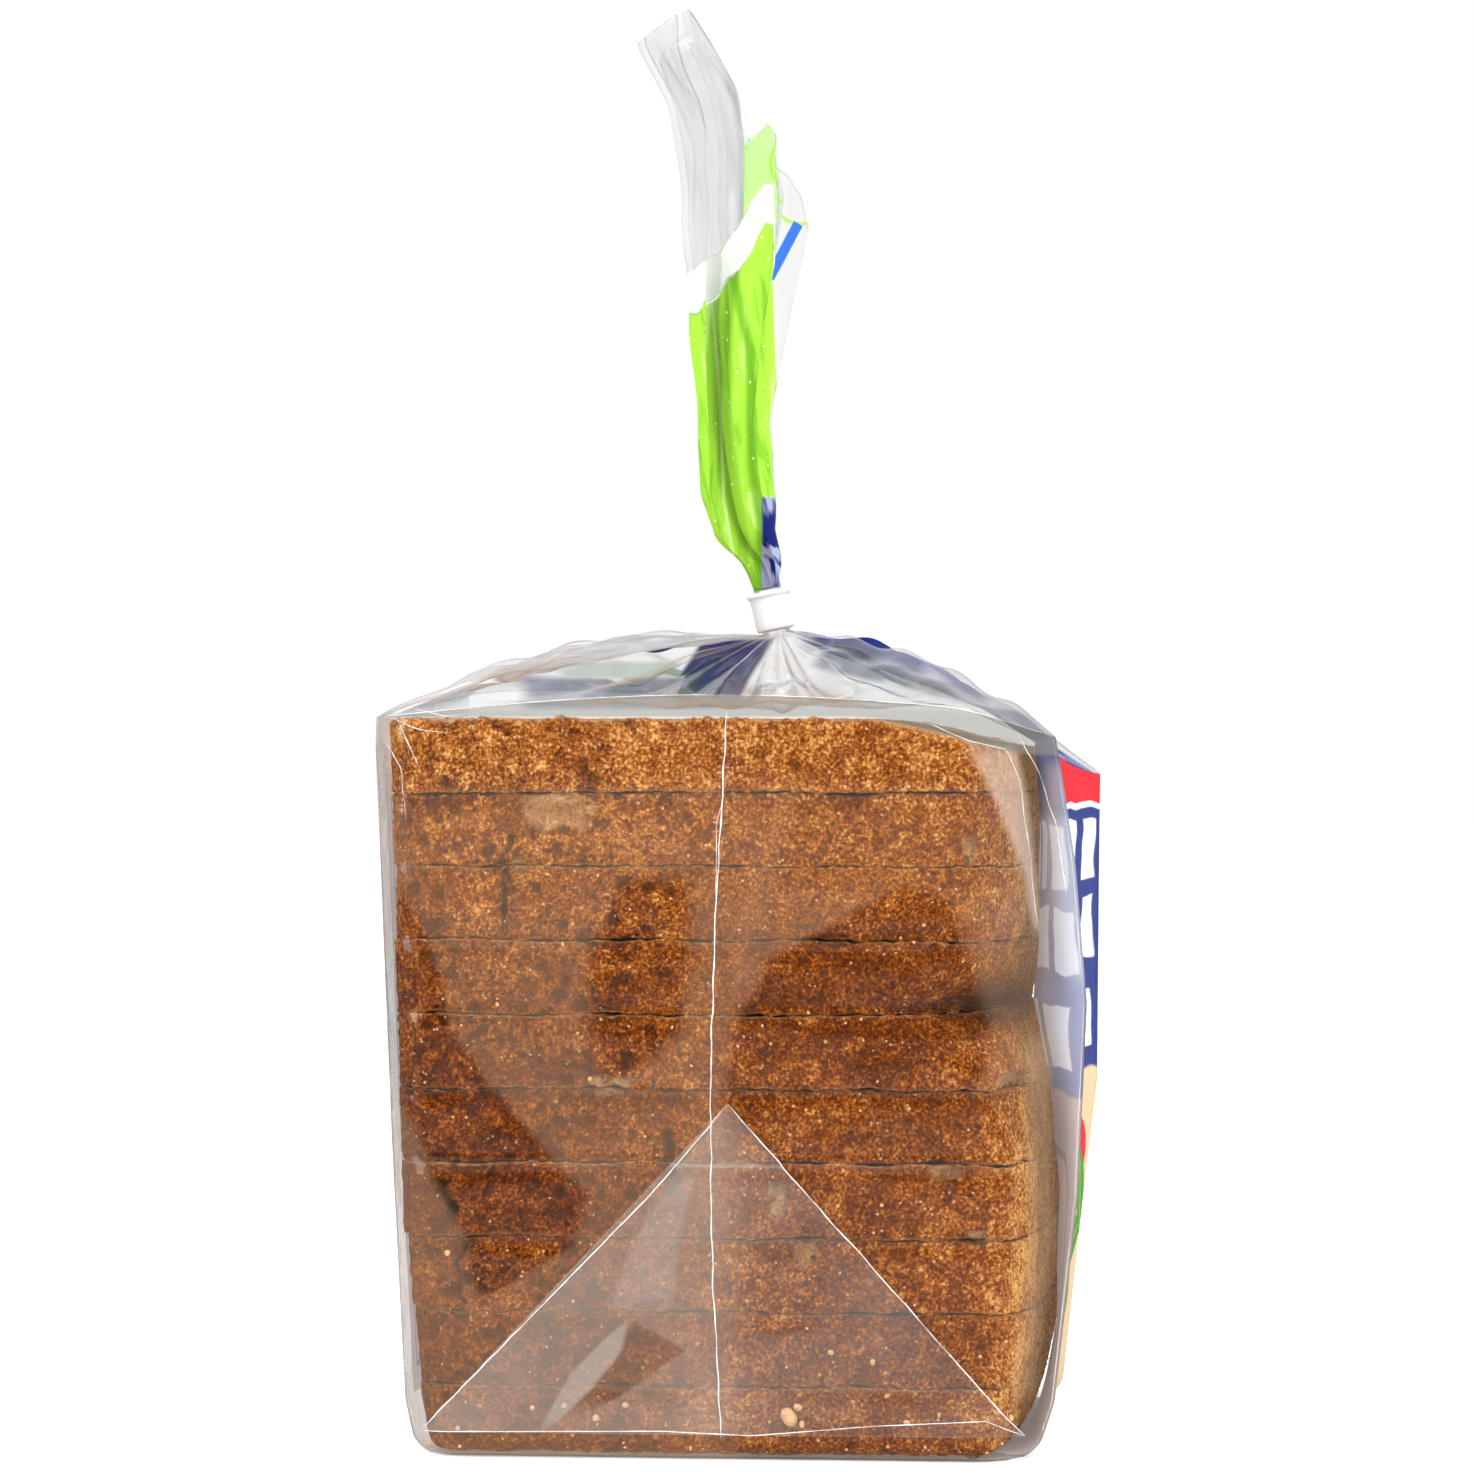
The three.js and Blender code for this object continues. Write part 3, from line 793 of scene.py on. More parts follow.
def rim_points(place):
    rim = wall_points(place, np.full(place.shape, STACK))
    _, share, gusset = panel_of(place)
    to_far = (rim[..., 1] + GUSSET_Y) / (2 * GUSSET_Y)
    rim[..., 2] += np.where(gusset, TOP_LIP * np.sin(math.pi * share), 0)
    rim[..., 2] += BACK_LIFT * to_far * (1 - ease(rim[..., 0], -60, 0))
    return rim


def on_band(side, out, height):
    """Points beside, behind and above the band's middle, in the frame of the leaning band."""
    up = np.array([math.sin(BAND_LEAN), 0, math.cos(BAND_LEAN)])
    right = np.array([math.cos(BAND_LEAN), 0, -math.sin(BAND_LEAN)])
    behind = np.array([0, 1, 0])
    return BAND_CENTRE + height[..., None] * up + side[..., None] * right + out[..., None] * behind


def neck_points(place, height):
    place, height = np.broadcast_arrays(place, height)
    angle = math.radians(-135) + place * math.pi / 2
    crimp = NECK_RADIUS * (1 - 0.14 * np.sin(place * 2 * math.pi * RIPPLES) ** 2)
    return on_band(crimp * np.cos(angle), crimp * np.sin(angle), height)


def shoulder_points(place, up):
    place, up = np.broadcast_arrays(place, up)
    _, share, gusset = panel_of(place)
    neck = neck_points(place, np.full(place.shape, -BAND_HEIGHT / 2 - NECK_PAST))
    points = mix(rim_points(place), neck, up[..., None])
    rise = np.sin(math.pi * np.clip(up, 0, 1) ** 0.8)
    fold = np.where(gusset, np.sin(math.pi * share), 0)
    lift = mix(SWELL, -GUSSET_SINK, fold)
    lift = lift - np.where(gusset, 0, 1.6 * (1 - up) * np.abs(np.sin(3 * math.pi * share)))
    pleats = 0.9 * np.sin(place * 2 * math.pi * RIPPLES) + 0.7 * np.sin(place * 2 * math.pi * 9 + 4 * up)
    points[..., 2] += rise * (lift + 1.5 * pleats * up**0.5)
    points[..., 2] += 1.1 * sine_noise(810, (points[..., 0], 21), (points[..., 1], 26)) * rise
    return points


# %% [markdown]
# The tail is drawn from the photograph's side, where it is seen edge on: three lines give the
# x of its left edge, its notch and its right edge at each height, and a fourth gives how high
# it is cut from left to right. The pleated film is then fitted between those lines, and moved
# along the camera's line of sight to its own depth, so its outline stays as it is seen.

# %% The tail's path
TAIL_LEFT = (
    [151.5, 155, 162.5, 165.5, 171.5, 186, 204, 218, 226, 237.5, 243.7, 254.4, 262],
    [-2.5, -6, -9, -8.8, -11.1, -11.6, -13.8, -14.8, -15.2, -16.6, -18.1, -23.7, -24.5],
)
TAIL_NOTCH = (
    [151.5, 170, 186, 203, 226, 234, 246, 255, 262],
    [0.5, -3, -5, -4.6, -2.8, -2.4, -3.1, -6.8, -8],
)
TAIL_RIGHT = (
    [151.5, 158, 165, 170.5, 185, 202, 220.5, 226.5, 236.3, 262],
    [4.5, 5.1, 3.2, 3.4, 2.1, 5.3, 9.2, 10.3, 7, 3],
)
# from -1 at the left edge, past 0 at the notch, to 1 at the right edge, and the height there
TAIL_TOP = (
    [-1, -0.5, -0.3, -0.12, -0.04, 0, 0.06, 0.3, 0.7, 1],
    [254.4, 260, 261.4, 255, 246, 234, 238, 240, 236.5, 226.5],
)
FAR_DROP = 6  # the far lobe is cut this much lower
TAIL_PLEATS = 3.5
TAIL_LEAF = 1.5
VALLEY = 0.4  # the gusset folds in to this share of the half width
HALF_WIDTH = (4.1, 34)  # at the neck and at the cut edge, as in the rest of these pairs
PLEAT_DEPTH = (2.2, 13)
WING_OPEN = 3.4
BACK_OPEN, FRONT_OPEN = 6.5, 11
WING = 8 / 22  # the outer share of each panel that folds round into a wing
SIGHT = CAMERA_DISTANCE / MM
EYE_X, EYE_HEIGHT = CAMERA_TARGET[0] / MM, CAMERA_TARGET[2] / MM


def zigzag(turns):
    return np.arcsin(np.sin(2 * math.pi * turns) * 0.985) * 2 / math.pi


def at_depth(x, y, z):
    """Moves a place of the middle plane along the camera's line of sight to the depth y."""
    scale = 1 + y * math.cos(CAMERA_AZIMUTH) / SIGHT
    x = (x - EYE_X) * scale - y * math.tan(CAMERA_AZIMUTH) + EYE_X
    return x, EYE_HEIGHT + (z - EYE_HEIGHT) * scale


def tail_points(place, up):
    place, up = np.broadcast_arrays(place, up)
    panel, share, gusset = panel_of(place)
    top = neck_points(place, np.full(place.shape, BAND_HEIGHT / 2 + NECK_PAST))
    half = mix(*HALF_WIDTH, up**0.85)
    valley = VALLEY * half
    depth = mix(*PLEAT_DEPTH, up)
    fold_share = np.abs(2 * share - 1)
    towards = np.interp(share, [0, WING, 1 - WING, 1], [-1, -VALLEY, VALLEY, 1])
    gusset_y = np.where(panel == 0, -1, 1) * mix(valley, half, fold_share)
    y = np.where(gusset, gusset_y, np.where(panel == 1, 1, -1) * towards * half)
    pleat = -depth * zigzag((y + half) / (4 * half) * TAIL_PLEATS)
    lobes = np.clip((np.abs(y) - valley) / (half - valley), 0, 1) ** 1.2
    behind = (panel == 3) | ((panel == 0) & (share < 0.5)) | ((panel == 2) & (share > 0.5))
    to_front = np.where(behind, -1, 1)
    apart = TAIL_LEAF + mix(WING_OPEN, np.where(behind, BACK_OPEN, FRONT_OPEN), up**1.2) * lobes
    tuck = np.clip(np.minimum(3 * (1 - fold_share), 3 * fold_share), None, 1)
    apart = apart - np.where(gusset, TAIL_LEAF * tuck, 0)
    aslant = pleat + to_front * apart * np.where(gusset & (fold_share < 1e-6), 0, 1)
    aslant = aslant + 0.9 * up * sine_noise(820, (y, 14), (up * 100, 30))
    back_reach = 0.4 * mix(WING_OPEN, BACK_OPEN, up)
    widest = depth + TAIL_LEAF + np.where(aslant < 0, back_reach, mix(WING_OPEN, 8, up))
    reach = np.clip(aslant / widest, -1, 1)
    z = mix(EYE_HEIGHT + 27.2, along(TAIL_TOP, reach) - FAR_DROP * ease(y, -5, 20), up)
    left, notch, right = along(TAIL_LEFT, z), along(TAIL_NOTCH, z), along(TAIL_RIGHT, z)
    notch = notch + 2.5 * ease(z, 234, 240) * (reach > 0)
    x = np.where(reach < 0, mix(left, notch, reach + 1), mix(notch, right, reach))
    x, z = at_depth(x, y, z)
    loose = ease(up, 0, 0.12)
    parts = [mix(top[..., 0], x, loose), mix(top[..., 1], y, loose), mix(top[..., 2], z, ease(up, 0, 0.05))]
    return np.stack(parts, -1)


# %% [markdown]
# Film is thin and clear, so most light goes straight through and a little is mirrored, more
# of it at a slant. Where the film lies flat and catches the soft light it looks milky; that is a
# painted reflection, a glow laid over the film in its own tint. Print is a dye layer that hides
# what is behind it from outside and looks faded from inside. The painted reflection, its tint
# and the dye are rules, and each reads where on the film it is: in millimetres, as a place round
# the bag, and as a share of the way up.


# %% Film finish
def srgb(*parts):
    """A colour as a screen gives it, from 0 to 255, as the linear light that Blender works in."""
    return tuple(((part / 255 + 0.055) / 1.055) ** 2.4 for part in parts)


WHITE, BLACK = (1, 1, 1), (0, 0, 0)
NAVY = srgb(46, 56, 112)
DEEP_NAVY = srgb(20, 30, 96)
LIME = srgb(150, 207, 60)
# The deep green is lime in painted shade, for the tail's folds.
LIME_IN_PAINTED_SHADE = srgb(84, 146, 20)
RED = srgb(190, 44, 54)
CREAM = srgb(200, 174, 138)
LEAF_GREEN = srgb(70, 130, 50)
PAPER = srgb(238, 239, 240)
FRAME_BLUE = srgb(60, 90, 160)
PLAIN_BROWN, PLAIN_SAND = srgb(160, 102, 52), srgb(226, 196, 150)
CLEAR = 0.991  # the share of light that one face of the film lets through


def slant_mirror(tree, mirror, most, least, **normal):
    """Clear film that mirrors more where it is seen at a slant, by the fifth power of the slant."""
    facing = tree.node("ShaderNodeLayerWeight", None, {"Blend": 0.5, **normal}).out("Facing")
    return blend(tree, facing**5 * most + least, tree.see_through(CLEAR), mirror)


def only_seen(tree, film):
    """Film for what is seen; light on its way to the bread passes it as if it were plain."""
    return blend(tree, tree.is_ray("Camera"), tree.see_through(0.96), film)


def film_finish(name, painted_reflection, tint, dye=None, wrinkle=0.3, stretch=1, glow=0):
    """Clear, mirroring film under a painted reflection that glows in its own tint, and under a dye if it is
    printed; glow gives the dye painted light of its own.
    """
    finish, tree = new_finish(name)
    place = object_place(tree)
    x, y, z = (part * 1000 for part in tree.parts(place))
    across, up, _ = tree.parts(tree.node("ShaderNodeUVMap").out())
    streaks = tree.noise(tree.stretched(place, stretch), 60, 2, 0.6)
    at = SimpleNamespace(place=place, x=x, y=y, z=z, across=across * 4, up=up, streaks=streaks)
    normal = bump(tree, streaks, wrinkle, 0.002)
    film = slant_mirror(tree, plastic(tree, WHITE, 0.09, normal, Metallic=1), 0.9, 0.02, Normal=normal)
    # Painted reflection: a glow in the film's tint stands for soft light mirrored where the film lies flat.
    painted_reflection_glow = plastic(tree, BLACK, 0.6, **lit(tint(tree, at), 0.95))
    film = blend(tree, painted_reflection(tree, at), film, painted_reflection_glow)
    if dye is None:
        show(tree, only_seen(tree, film))
    else:
        share, colour = dye(tree, at)
        share = share * (tree.is_ray("Camera") * 0.4 + 0.6)
        # A glow on the dye is painted light, for light that comes through the print.
        show(tree, blend(tree, share, film, plastic(tree, colour, 0.4, normal, **lit(colour, glow))))
    return finish


clear_inside, tree = new_finish("film_inside")
mirror = tree.node("ShaderNodeBsdfGlossy", None, {"Color": WHITE, "Roughness": 0.1}).out()
show(tree, only_seen(tree, slant_mirror(tree, mirror, 0.7, 0.006)))

# %% [markdown]
# In the photograph the near gusset's film is milky where it lies flat, with clear windows where
# it bends away from the soft light, and bright gleams where it turns towards it: all painted
# reflection. Their edges are charts of x against height, so each can be moved like a curve drawn on the
# film.

# %% Painted reflection on the near gusset
# each window: its left edge, its right edge (heights, then x) and how soft they are
WINDOWS = [
    (
        ([28, 40, 52, 66, 80, 103], [-44, -48.5, -53, -57.5, -60.5, -60.5]),
        ([28, 38, 47, 60, 74, 90, 103], [-42, -26, -23, -37, -47, -53, -59.5]),
        1.6,
    ),
    (([66, 75, 90, 102], [-22, -24.5, -22, -18]), ([66, 75, 90, 102], [-18, -8, -3, -6]), 2.6),
    (
        ([58, 66, 76, 88, 100], [0.5, 0.5, 2, 8, 30]),
        ([58, 66, 76, 88, 100], [42, 46, 48, 44, 40]),
        2.2,
    ),
]
# each gleam: its heights, the x of its left and of its right edge there, how soft and how strong
GLEAMS = [
    ([93, 103, 115, 125], [54, 52.2, 47.6, 42.5], [54.8, 54, 52.8, 50.8], 0.9, 0.5),
    ([12, 40, 74], [50, 53.5, 52.5], [53.5, 57.5, 56.5], 1.2, 0.16),
    ([82, 92, 108, 118], [1, 1.5, 6, 10], [5, 7, 10, 13], 1.2, 0.03),
    ([84, 95, 108, 122], [60, 57.5, 56.5, 56], [70, 70, 70, 70], 1.6, 0.34),
]
# Painted reflection: how far the lip's falls with the dome, and how much lies on the flat film between
# windows.
LIP_FALL = 6.5  # how far the milky lip falls with the dome, towards the front
FLAT_REFLECTION = 0.12  # how milky the flat film is between its windows


def curve(value, points):
    """A height read off a chart with straight lines between its points."""
    reads, writes = points
    share = (value - reads[0]) / (reads[-1] - reads[0])
    low, high = min(writes), max(writes)
    chart = value.tree.node("ShaderNodeFloatCurve", None, {"Value": share})
    line = chart.node.mapping.curves[0]
    for number, (read, write) in enumerate(zip(reads, writes)):
        spot = ((read - reads[0]) / (reads[-1] - reads[0]), (write - low) / max(high - low, 0.001))
        if 0 < number < len(reads) - 1:
            dot = line.points.new(*spot)
        else:
            dot = line.points[0 if number == 0 else -1]
            dot.location = spot
        dot.handle_type = "VECTOR"
    chart.node.mapping.update()
    return chart.out() * (high - low) + low


def between_edges(x, z, left, right, soft):
    in_height = z.inside(left[0][0], left[0][-1], 2)
    mask = (x - curve(z, left)).step(-soft, soft)
    return mask * (1 - (x - curve(z, right)).step(-soft, soft)) * in_height


def near_painted_reflection(tree, at):
    wobble = tree.noise(at.place, 45, 2) * 9 - 4.5
    x, z = at.x + wobble, at.z + wobble * 0.6
    windows = z.step(112, 120) * 0.85
    windows = windows.most(at.x.step(56, 58) * 0.8)
    low_right = at.x.step(-2, 6) * (1 - z.step(62, 70))
    windows = windows.most(low_right * 0.9)
    for left, right, soft in WINDOWS:
        windows = windows.most(between_edges(x, z, left, right, soft))
    patchy = tree.noise(at.place, 22, 1) * 0.5 + 0.75
    right_top = at.x.step(4, 16) * z.step(96, 104)
    # Painted reflection: the flat film glows between its windows, gleams add painted highlights, and the lip
    # is painted grey.
    reflection_share = (1 - windows * 0.97) * patchy * (FLAT_REFLECTION - right_top * 0.05) + 0.002
    for heights, left, right, soft, strength in GLEAMS:
        gleam = between_edges(at.x, at.z, (heights, left), (heights, right), soft)
        reflection_share = reflection_share + gleam * strength
    return reflection_share + above_stack(at, -0.3, 0.6) * 0.56


def above_stack(at, low, high):
    """1 on the lip that stands up past the top slice."""
    lip_z = at.z + at.x.step(22, 56) * LIP_FALL
    return lip_z.step(STACK + low, STACK + high)


def near_tint(tree, at):
    # The painted reflection's colours: warm at a gleam, cool at the far right, dull grey on the lip.
    gleam = at.x.step(43, 47) * at.z.step(88, 94)
    warm = tree.paint(gleam, (1, 0.66, 0.42), (0.88, 0.68, 0.56))
    warm = tree.paint(at.x.step(57, 59), warm, (0.80, 0.84, 0.95))
    return tree.paint(above_stack(at, -0.5, 0.5), warm, (0.35, 0.345, 0.30))


# Painted reflection on the printed panels: faint on the body, grey and patchy on the shoulders.
def faint_painted_reflection(tree, at):
    return 0.01


def grey_painted_reflection(tree, at):
    return tree.noise(at.place, 35, 2).step(0.35, 0.75) * 0.10 + 0.03


def grey_tint(tree, at):
    return tree.paint(tree.noise(at.place, 30, 1), (0.40, 0.43, 0.46), (0.72, 0.75, 0.80))


# in the folded foot, painted reflection with a clear window, a curved gleam beside it and a faint streak
# above
FOLD_WINDOW = (
    ([9, 14, 19.4, 24], [-27, -22.5, -18, -16.5]),
    ([9, 14, 19.4, 24], [-22, -14, -7, -15]),
    0.8,
)
FOLD_GLEAM = (
    ([6, 15, 20.5, 24.4], [-32.2, -27.1, -21.8, -17.4]),
    ([6, 12, 18.7, 24.4], [-30.2, -23.6, -18.3, -16.8]),
    0.5,
)
FOLD_STREAK = (([27, 38, 50], [-20, -16, -9]), ([27, 38, 50], [-9, -8, -5]), 1)


def fold_painted_reflection(tree, at):
    patchy = tree.noise(at.place, 30, 2).step(0.40, 0.62)
    window = between_edges(at.x, at.z, *FOLD_WINDOW)
    reflection_share = patchy * 0.06 + 0.04 + (1 - at.x.step(-8, 10)) * 0.11
    reflection_share = reflection_share * (1 - window * 0.85)
    gleam = between_edges(at.x, at.z, *FOLD_GLEAM)
    return reflection_share + gleam * 0.2 + between_edges(at.x, at.z, *FOLD_STREAK) * 0.12


def fold_tint(tree, at):
    return tree.paint(tree.noise(at.place, 25, 1), (0.86, 0.80, 0.72), (1, 0.90, 0.80))


# %% [markdown]
# The print is made of plain fields and shapes, worked out from the place on the panel: a navy
# field with pale blocks, a red badge, slices and leaves on the front, and a framed label on
# the back. Seen from inside, a print's white backing makes it paler; it is also lightened and
# made to glow, as painted light that stands for light coming through the print.


# %% Print on the body
def field(across, up, box, soft=0.25):
    """1 inside a box given as left, right, foot and head, in millimetres."""
    return across.inside(box[0], box[1], soft) * up.inside(box[2], box[3], soft)


def striped(value, edges):
    """1 in every second stretch between the edges, which takes a single chart."""
    low, high = edges[0] - 2, edges[-1] + 2
    reads, writes = [low], [0]
    for number, edge in enumerate(edges):
        reads += [edge - 0.2, edge + 0.2]
        writes += [number % 2, (number + 1) % 2]
    return curve(value, (reads + [high], writes + [0]))


def rounded(across, up, centre, half, corner):
    """1 inside a box with round corners, from the distance to the box's straight core."""
    beside = (abs(across - centre[0]) - (half[0] - corner)).most(0)
    above = (abs(up - centre[1]) - (half[1] - corner)).most(0)
    return 1 - (beside * beside + above * above).math("SQRT").step(corner - 0.25, corner + 0.25)


def leaf(across, up, centre, length, width, angle):
    """1 inside a pointed leaf, and how near its middle line a place is."""
    turn = math.radians(angle)
    east, north = across - centre[0], up - centre[1]
    run = east * math.cos(turn) + north * math.sin(turn)
    off = abs(north * math.cos(turn) - east * math.sin(turn))
    mask = ((1 - (run / length) ** 2) * width - off).step(-0.2, 0.2)
    return mask, 1 - off.step(0.15, 0.45)


# pale blocks on the navy field: foot and head of each row, then their edges across it
BLOCK_ROWS = [
    (99.5, 111, [3, 14, 18, 24, 27, 41, 45, 59, 62, 70, 73, 81, 85, 90, 93, 99]),
    (85, 96, [2, 12, 16, 33, 37, 46, 50, 69, 73, 80, 84, 89, 95, 99]),
    (68, 79, [5, 19, 24, 36, 41, 58, 62, 73, 78, 87, 93, 98]),
]


# the middle of each leaf on the front panel, and which way it points
LEAVES = [((84, 34), -25), ((94, 31), 30), ((88, 21), 80), ((97, 40), 115), ((46, 12), 10), ((76, 12), 160)]
FRONT_WIDTH, BACK_WIDTH = 101, 110


def front_colour(tree, at):
    wobble = tree.noise(at.place, 95, 1)
    across = (at.across - 1) * FRONT_WIDTH + (wobble - 0.5) * 6
    up = at.z + (tree.noise(at.place, 80, 1) - 0.5) * 4
    colour = NAVY
    for foot, head, edges in BLOCK_ROWS:
        row = striped(across, edges) * up.inside(foot, head, 0.25)
        colour = tree.paint(row, colour, PAPER)
    colour = tree.paint(field(across, up, (56, 102, 113, 124.5)), colour, PAPER)
    colour = tree.paint(field(across, up, (57, 101.5, 114, 123.5)), colour, RED)
    colour = tree.paint(1 - up.step(63, 64), colour, CREAM)
    across, up = (at.across - 1) * FRONT_WIDTH, at.z
    for centre in ((26, 33), (63, 30)):
        colour = tree.paint(rounded(across, up, centre, (17, 20), 6), colour, PLAIN_BROWN)
        colour = tree.paint(rounded(across, up, centre, (15.4, 18.4), 5), colour, PLAIN_SAND)
    colour = tree.paint(rounded(across, up, (91, 47), (7.5, 7.5), 7.5), colour, RED)
    for centre, angle in LEAVES:
        mask, middle = leaf(across, up, centre, 10, 3.4, angle)
        colour = tree.paint(mask, colour, LEAF_GREEN)
        colour = tree.paint(mask * middle * 0.7, colour, srgb(150, 190, 110))
    return colour


def back_colour(tree, at):
    across, up = (at.across - 3) * BACK_WIDTH, at.z
    edge = field(across, up, (14, 96, 14, 116)) - field(across, up, (15, 95, 15, 115))
    colour = tree.paint(edge, PAPER, FRAME_BLUE)
    lines = striped(up, [56, 58, 63, 65, 70, 72, 77, 79, 84, 86]) * across.inside(24, 80, 0.3)
    colour = tree.paint(lines, colour, srgb(120, 130, 165))
    colour = tree.paint(field(across, up, (24, 50, 24, 42)), colour, srgb(200, 205, 214))
    return tree.paint(field(across, up, (24, 86, 94, 108)), colour, NAVY)


def back_share(tree, at):
    return field((at.across - 3) * BACK_WIDTH, at.z, (10, 100, 10, 120)) * 0.95


def front_print(tree, at):
    return 0.93, front_colour(tree, at)


# Painted light: the inside print is lightened, partly for its white backing and partly for light through it
# into the shade behind.
def front_print_inside(tree, at):
    paler_and_painted_light = 0.5 - at.z.step(111, 114) * 0.4
    return 0.9, tree.paint(paler_and_painted_light, front_colour(tree, at), srgb(204, 208, 232))


def back_print(tree, at):
    return back_share(tree, at), back_colour(tree, at)


def back_print_inside(tree, at):
    return back_share(tree, at) * 0.5, tree.paint(0.5, back_colour(tree, at), srgb(240, 243, 247))


near_film = film_finish("film_near", near_painted_reflection, near_tint)
front_film = film_finish("film_front", faint_painted_reflection, grey_tint, front_print)
back_film = film_finish("film_back", faint_painted_reflection, grey_tint, back_print)
# The inside prints glow, as painted light coming through the print.
front_inside = film_finish("film_front_inside", faint_painted_reflection, grey_tint, front_print_inside, glow=0.25)
back_inside = film_finish("film_back_inside", faint_painted_reflection, grey_tint, back_print_inside, glow=0.6)
print("the front's finish has", len(front_film.node_tree.nodes), "nodes")

# %% [markdown]
# Above the loaf the printed panels fold in towards the neck, so the navy field is seen twice:
# on the panel itself, and far behind it through two layers of clear film. The near side is
# left clear, with streaks where its folds catch the light.


# %% Print on the shoulder
def shoulder_front_print(tree, at):
    edge = at.across.inside(1.04, 1.97, 0.01) * (1 - at.up.step(0.9, 0.97))
    patchy = tree.noise(at.place, 60, 1).step(0.55, 0.7)
    return edge * 0.85, tree.paint(patchy * 0.3, DEEP_NAVY, PAPER)


def shoulder_back_print(tree, at):
    neck = at.across.inside(2.8, 3.1, 0.06) * at.up.inside(0.60, 0.97, 0.05)
    white = at.across.inside(3.74, 3.86, 0.005) * (1 - at.up.step(0.25, 0.3))
    return neck.most(white * 0.9), tree.paint(white, DEEP_NAVY, PAPER)


def shoulder_far_print(tree, at):
    """The navy field of the folded-in film, seen through the clear near side."""
    x, z = at.x, at.z
    streak = at.streaks.step(0.34, 0.52)
    band = x.inside(-52, -14, 2.5) * z.inside(132.4, 138.4, 0.9) * streak
    wedge = (x + (144 - z) * 0.9).inside(-13, 1.5, 0.8) * z.inside(132.5, 145, 0.6)
    right = x.inside(8, 50, 3) * (z + x * 0.22).inside(141.5, 148.5, 0.8) * streak
    share = (band * 0.72).most(wedge).most(right * 0.7)
    green = z.inside(138, 141, 0.6) * x.inside(-44, -18, 2)
    share = share.most(green * 0.45)
    return share, tree.paint(green * 0.7, DEEP_NAVY, srgb(96, 150, 96))


# Painted reflection: streaks where the near shoulder's folds catch the soft light.
def near_shoulder_painted_reflection(tree, at):
    streaked_reflection = at.streaks.step(0.48, 0.62) * 0.08 + 0.01
    front = at.x.step(8, 20) * at.streaks.step(0.36, 0.58) * 0.22
    return streaked_reflection + front


def near_shoulder_tint(tree, at):
    right = at.x.step(0, 14)
    pale = tree.paint(at.streaks, (0.34, 0.37, 0.38), (0.86, 0.88, 0.92))
    return tree.paint(right * 0.6, pale, (0.40, 0.42, 0.58))


# These glows are painted light, for light that comes through the print.
far_film = film_finish("film_far", faint_painted_reflection, grey_tint, shoulder_far_print, glow=0.7)
shoulder_film = film_finish("film_shoulder", near_shoulder_painted_reflection, near_shoulder_tint, wrinkle=0.7)
shoulder_front, shoulder_far, shoulder_back = (
    film_finish(f"film_shoulder_{side}", grey_painted_reflection, grey_tint, dye, wrinkle=0.6, glow=glow)
    for side, dye, glow in (
        ("front", shoulder_front_print, 0),
        ("far", shoulder_far_print, 0.7),
        ("back", shoulder_back_print, 0.7),
    )
)

# %% [markdown]
# The tail is printed lime up to a slanting edge and is clear above it. Its colours follow the
# height and the x that the photograph shows, so its folds, label and tab keep their places on
# the pleats. A stretched noise along the tail paints light and shade on the folds, and two
# lines give a painted shadow along one fold and a painted highlight along another.


# %% Print on the tail
# Painted reflection: grey streaks over the tail's film.
def tail_painted_reflection(tree, at):
    return at.streaks.step(0.42, 0.62) * 0.08 + 0.02 + at.x.step(2, 4) * 0.05


def tail_tint(tree, at):
    return tree.paint(at.streaks, (0.70, 0.71, 0.75), (0.96, 0.96, 0.97))


GREEN_TOP = ([-16, -11.4, -7.1, -2.5, 1.2, 2.6, 3.4, 7], [203, 204, 207.5, 213, 218.6, 218.6, 194, 184])
# The x of a painted shade along one fold and of a painted highlight along another, at each height.
PAINTED_FOLD_SHADE = ([150, 166.8, 176, 196.4, 209.3, 222], [1.5, 0.3, -1.2, -1.6, -4.4, -5])
PAINTED_FOLD_HIGHLIGHT = ([150, 170, 190, 204, 222], [-3, -6.4, -7.2, -8.4, -9.5])
TAB_MIDDLE = (4.9, 218.6)
TAB_LEAN = math.radians(27)
RING_MIDDLE = (7.7, 229.7)


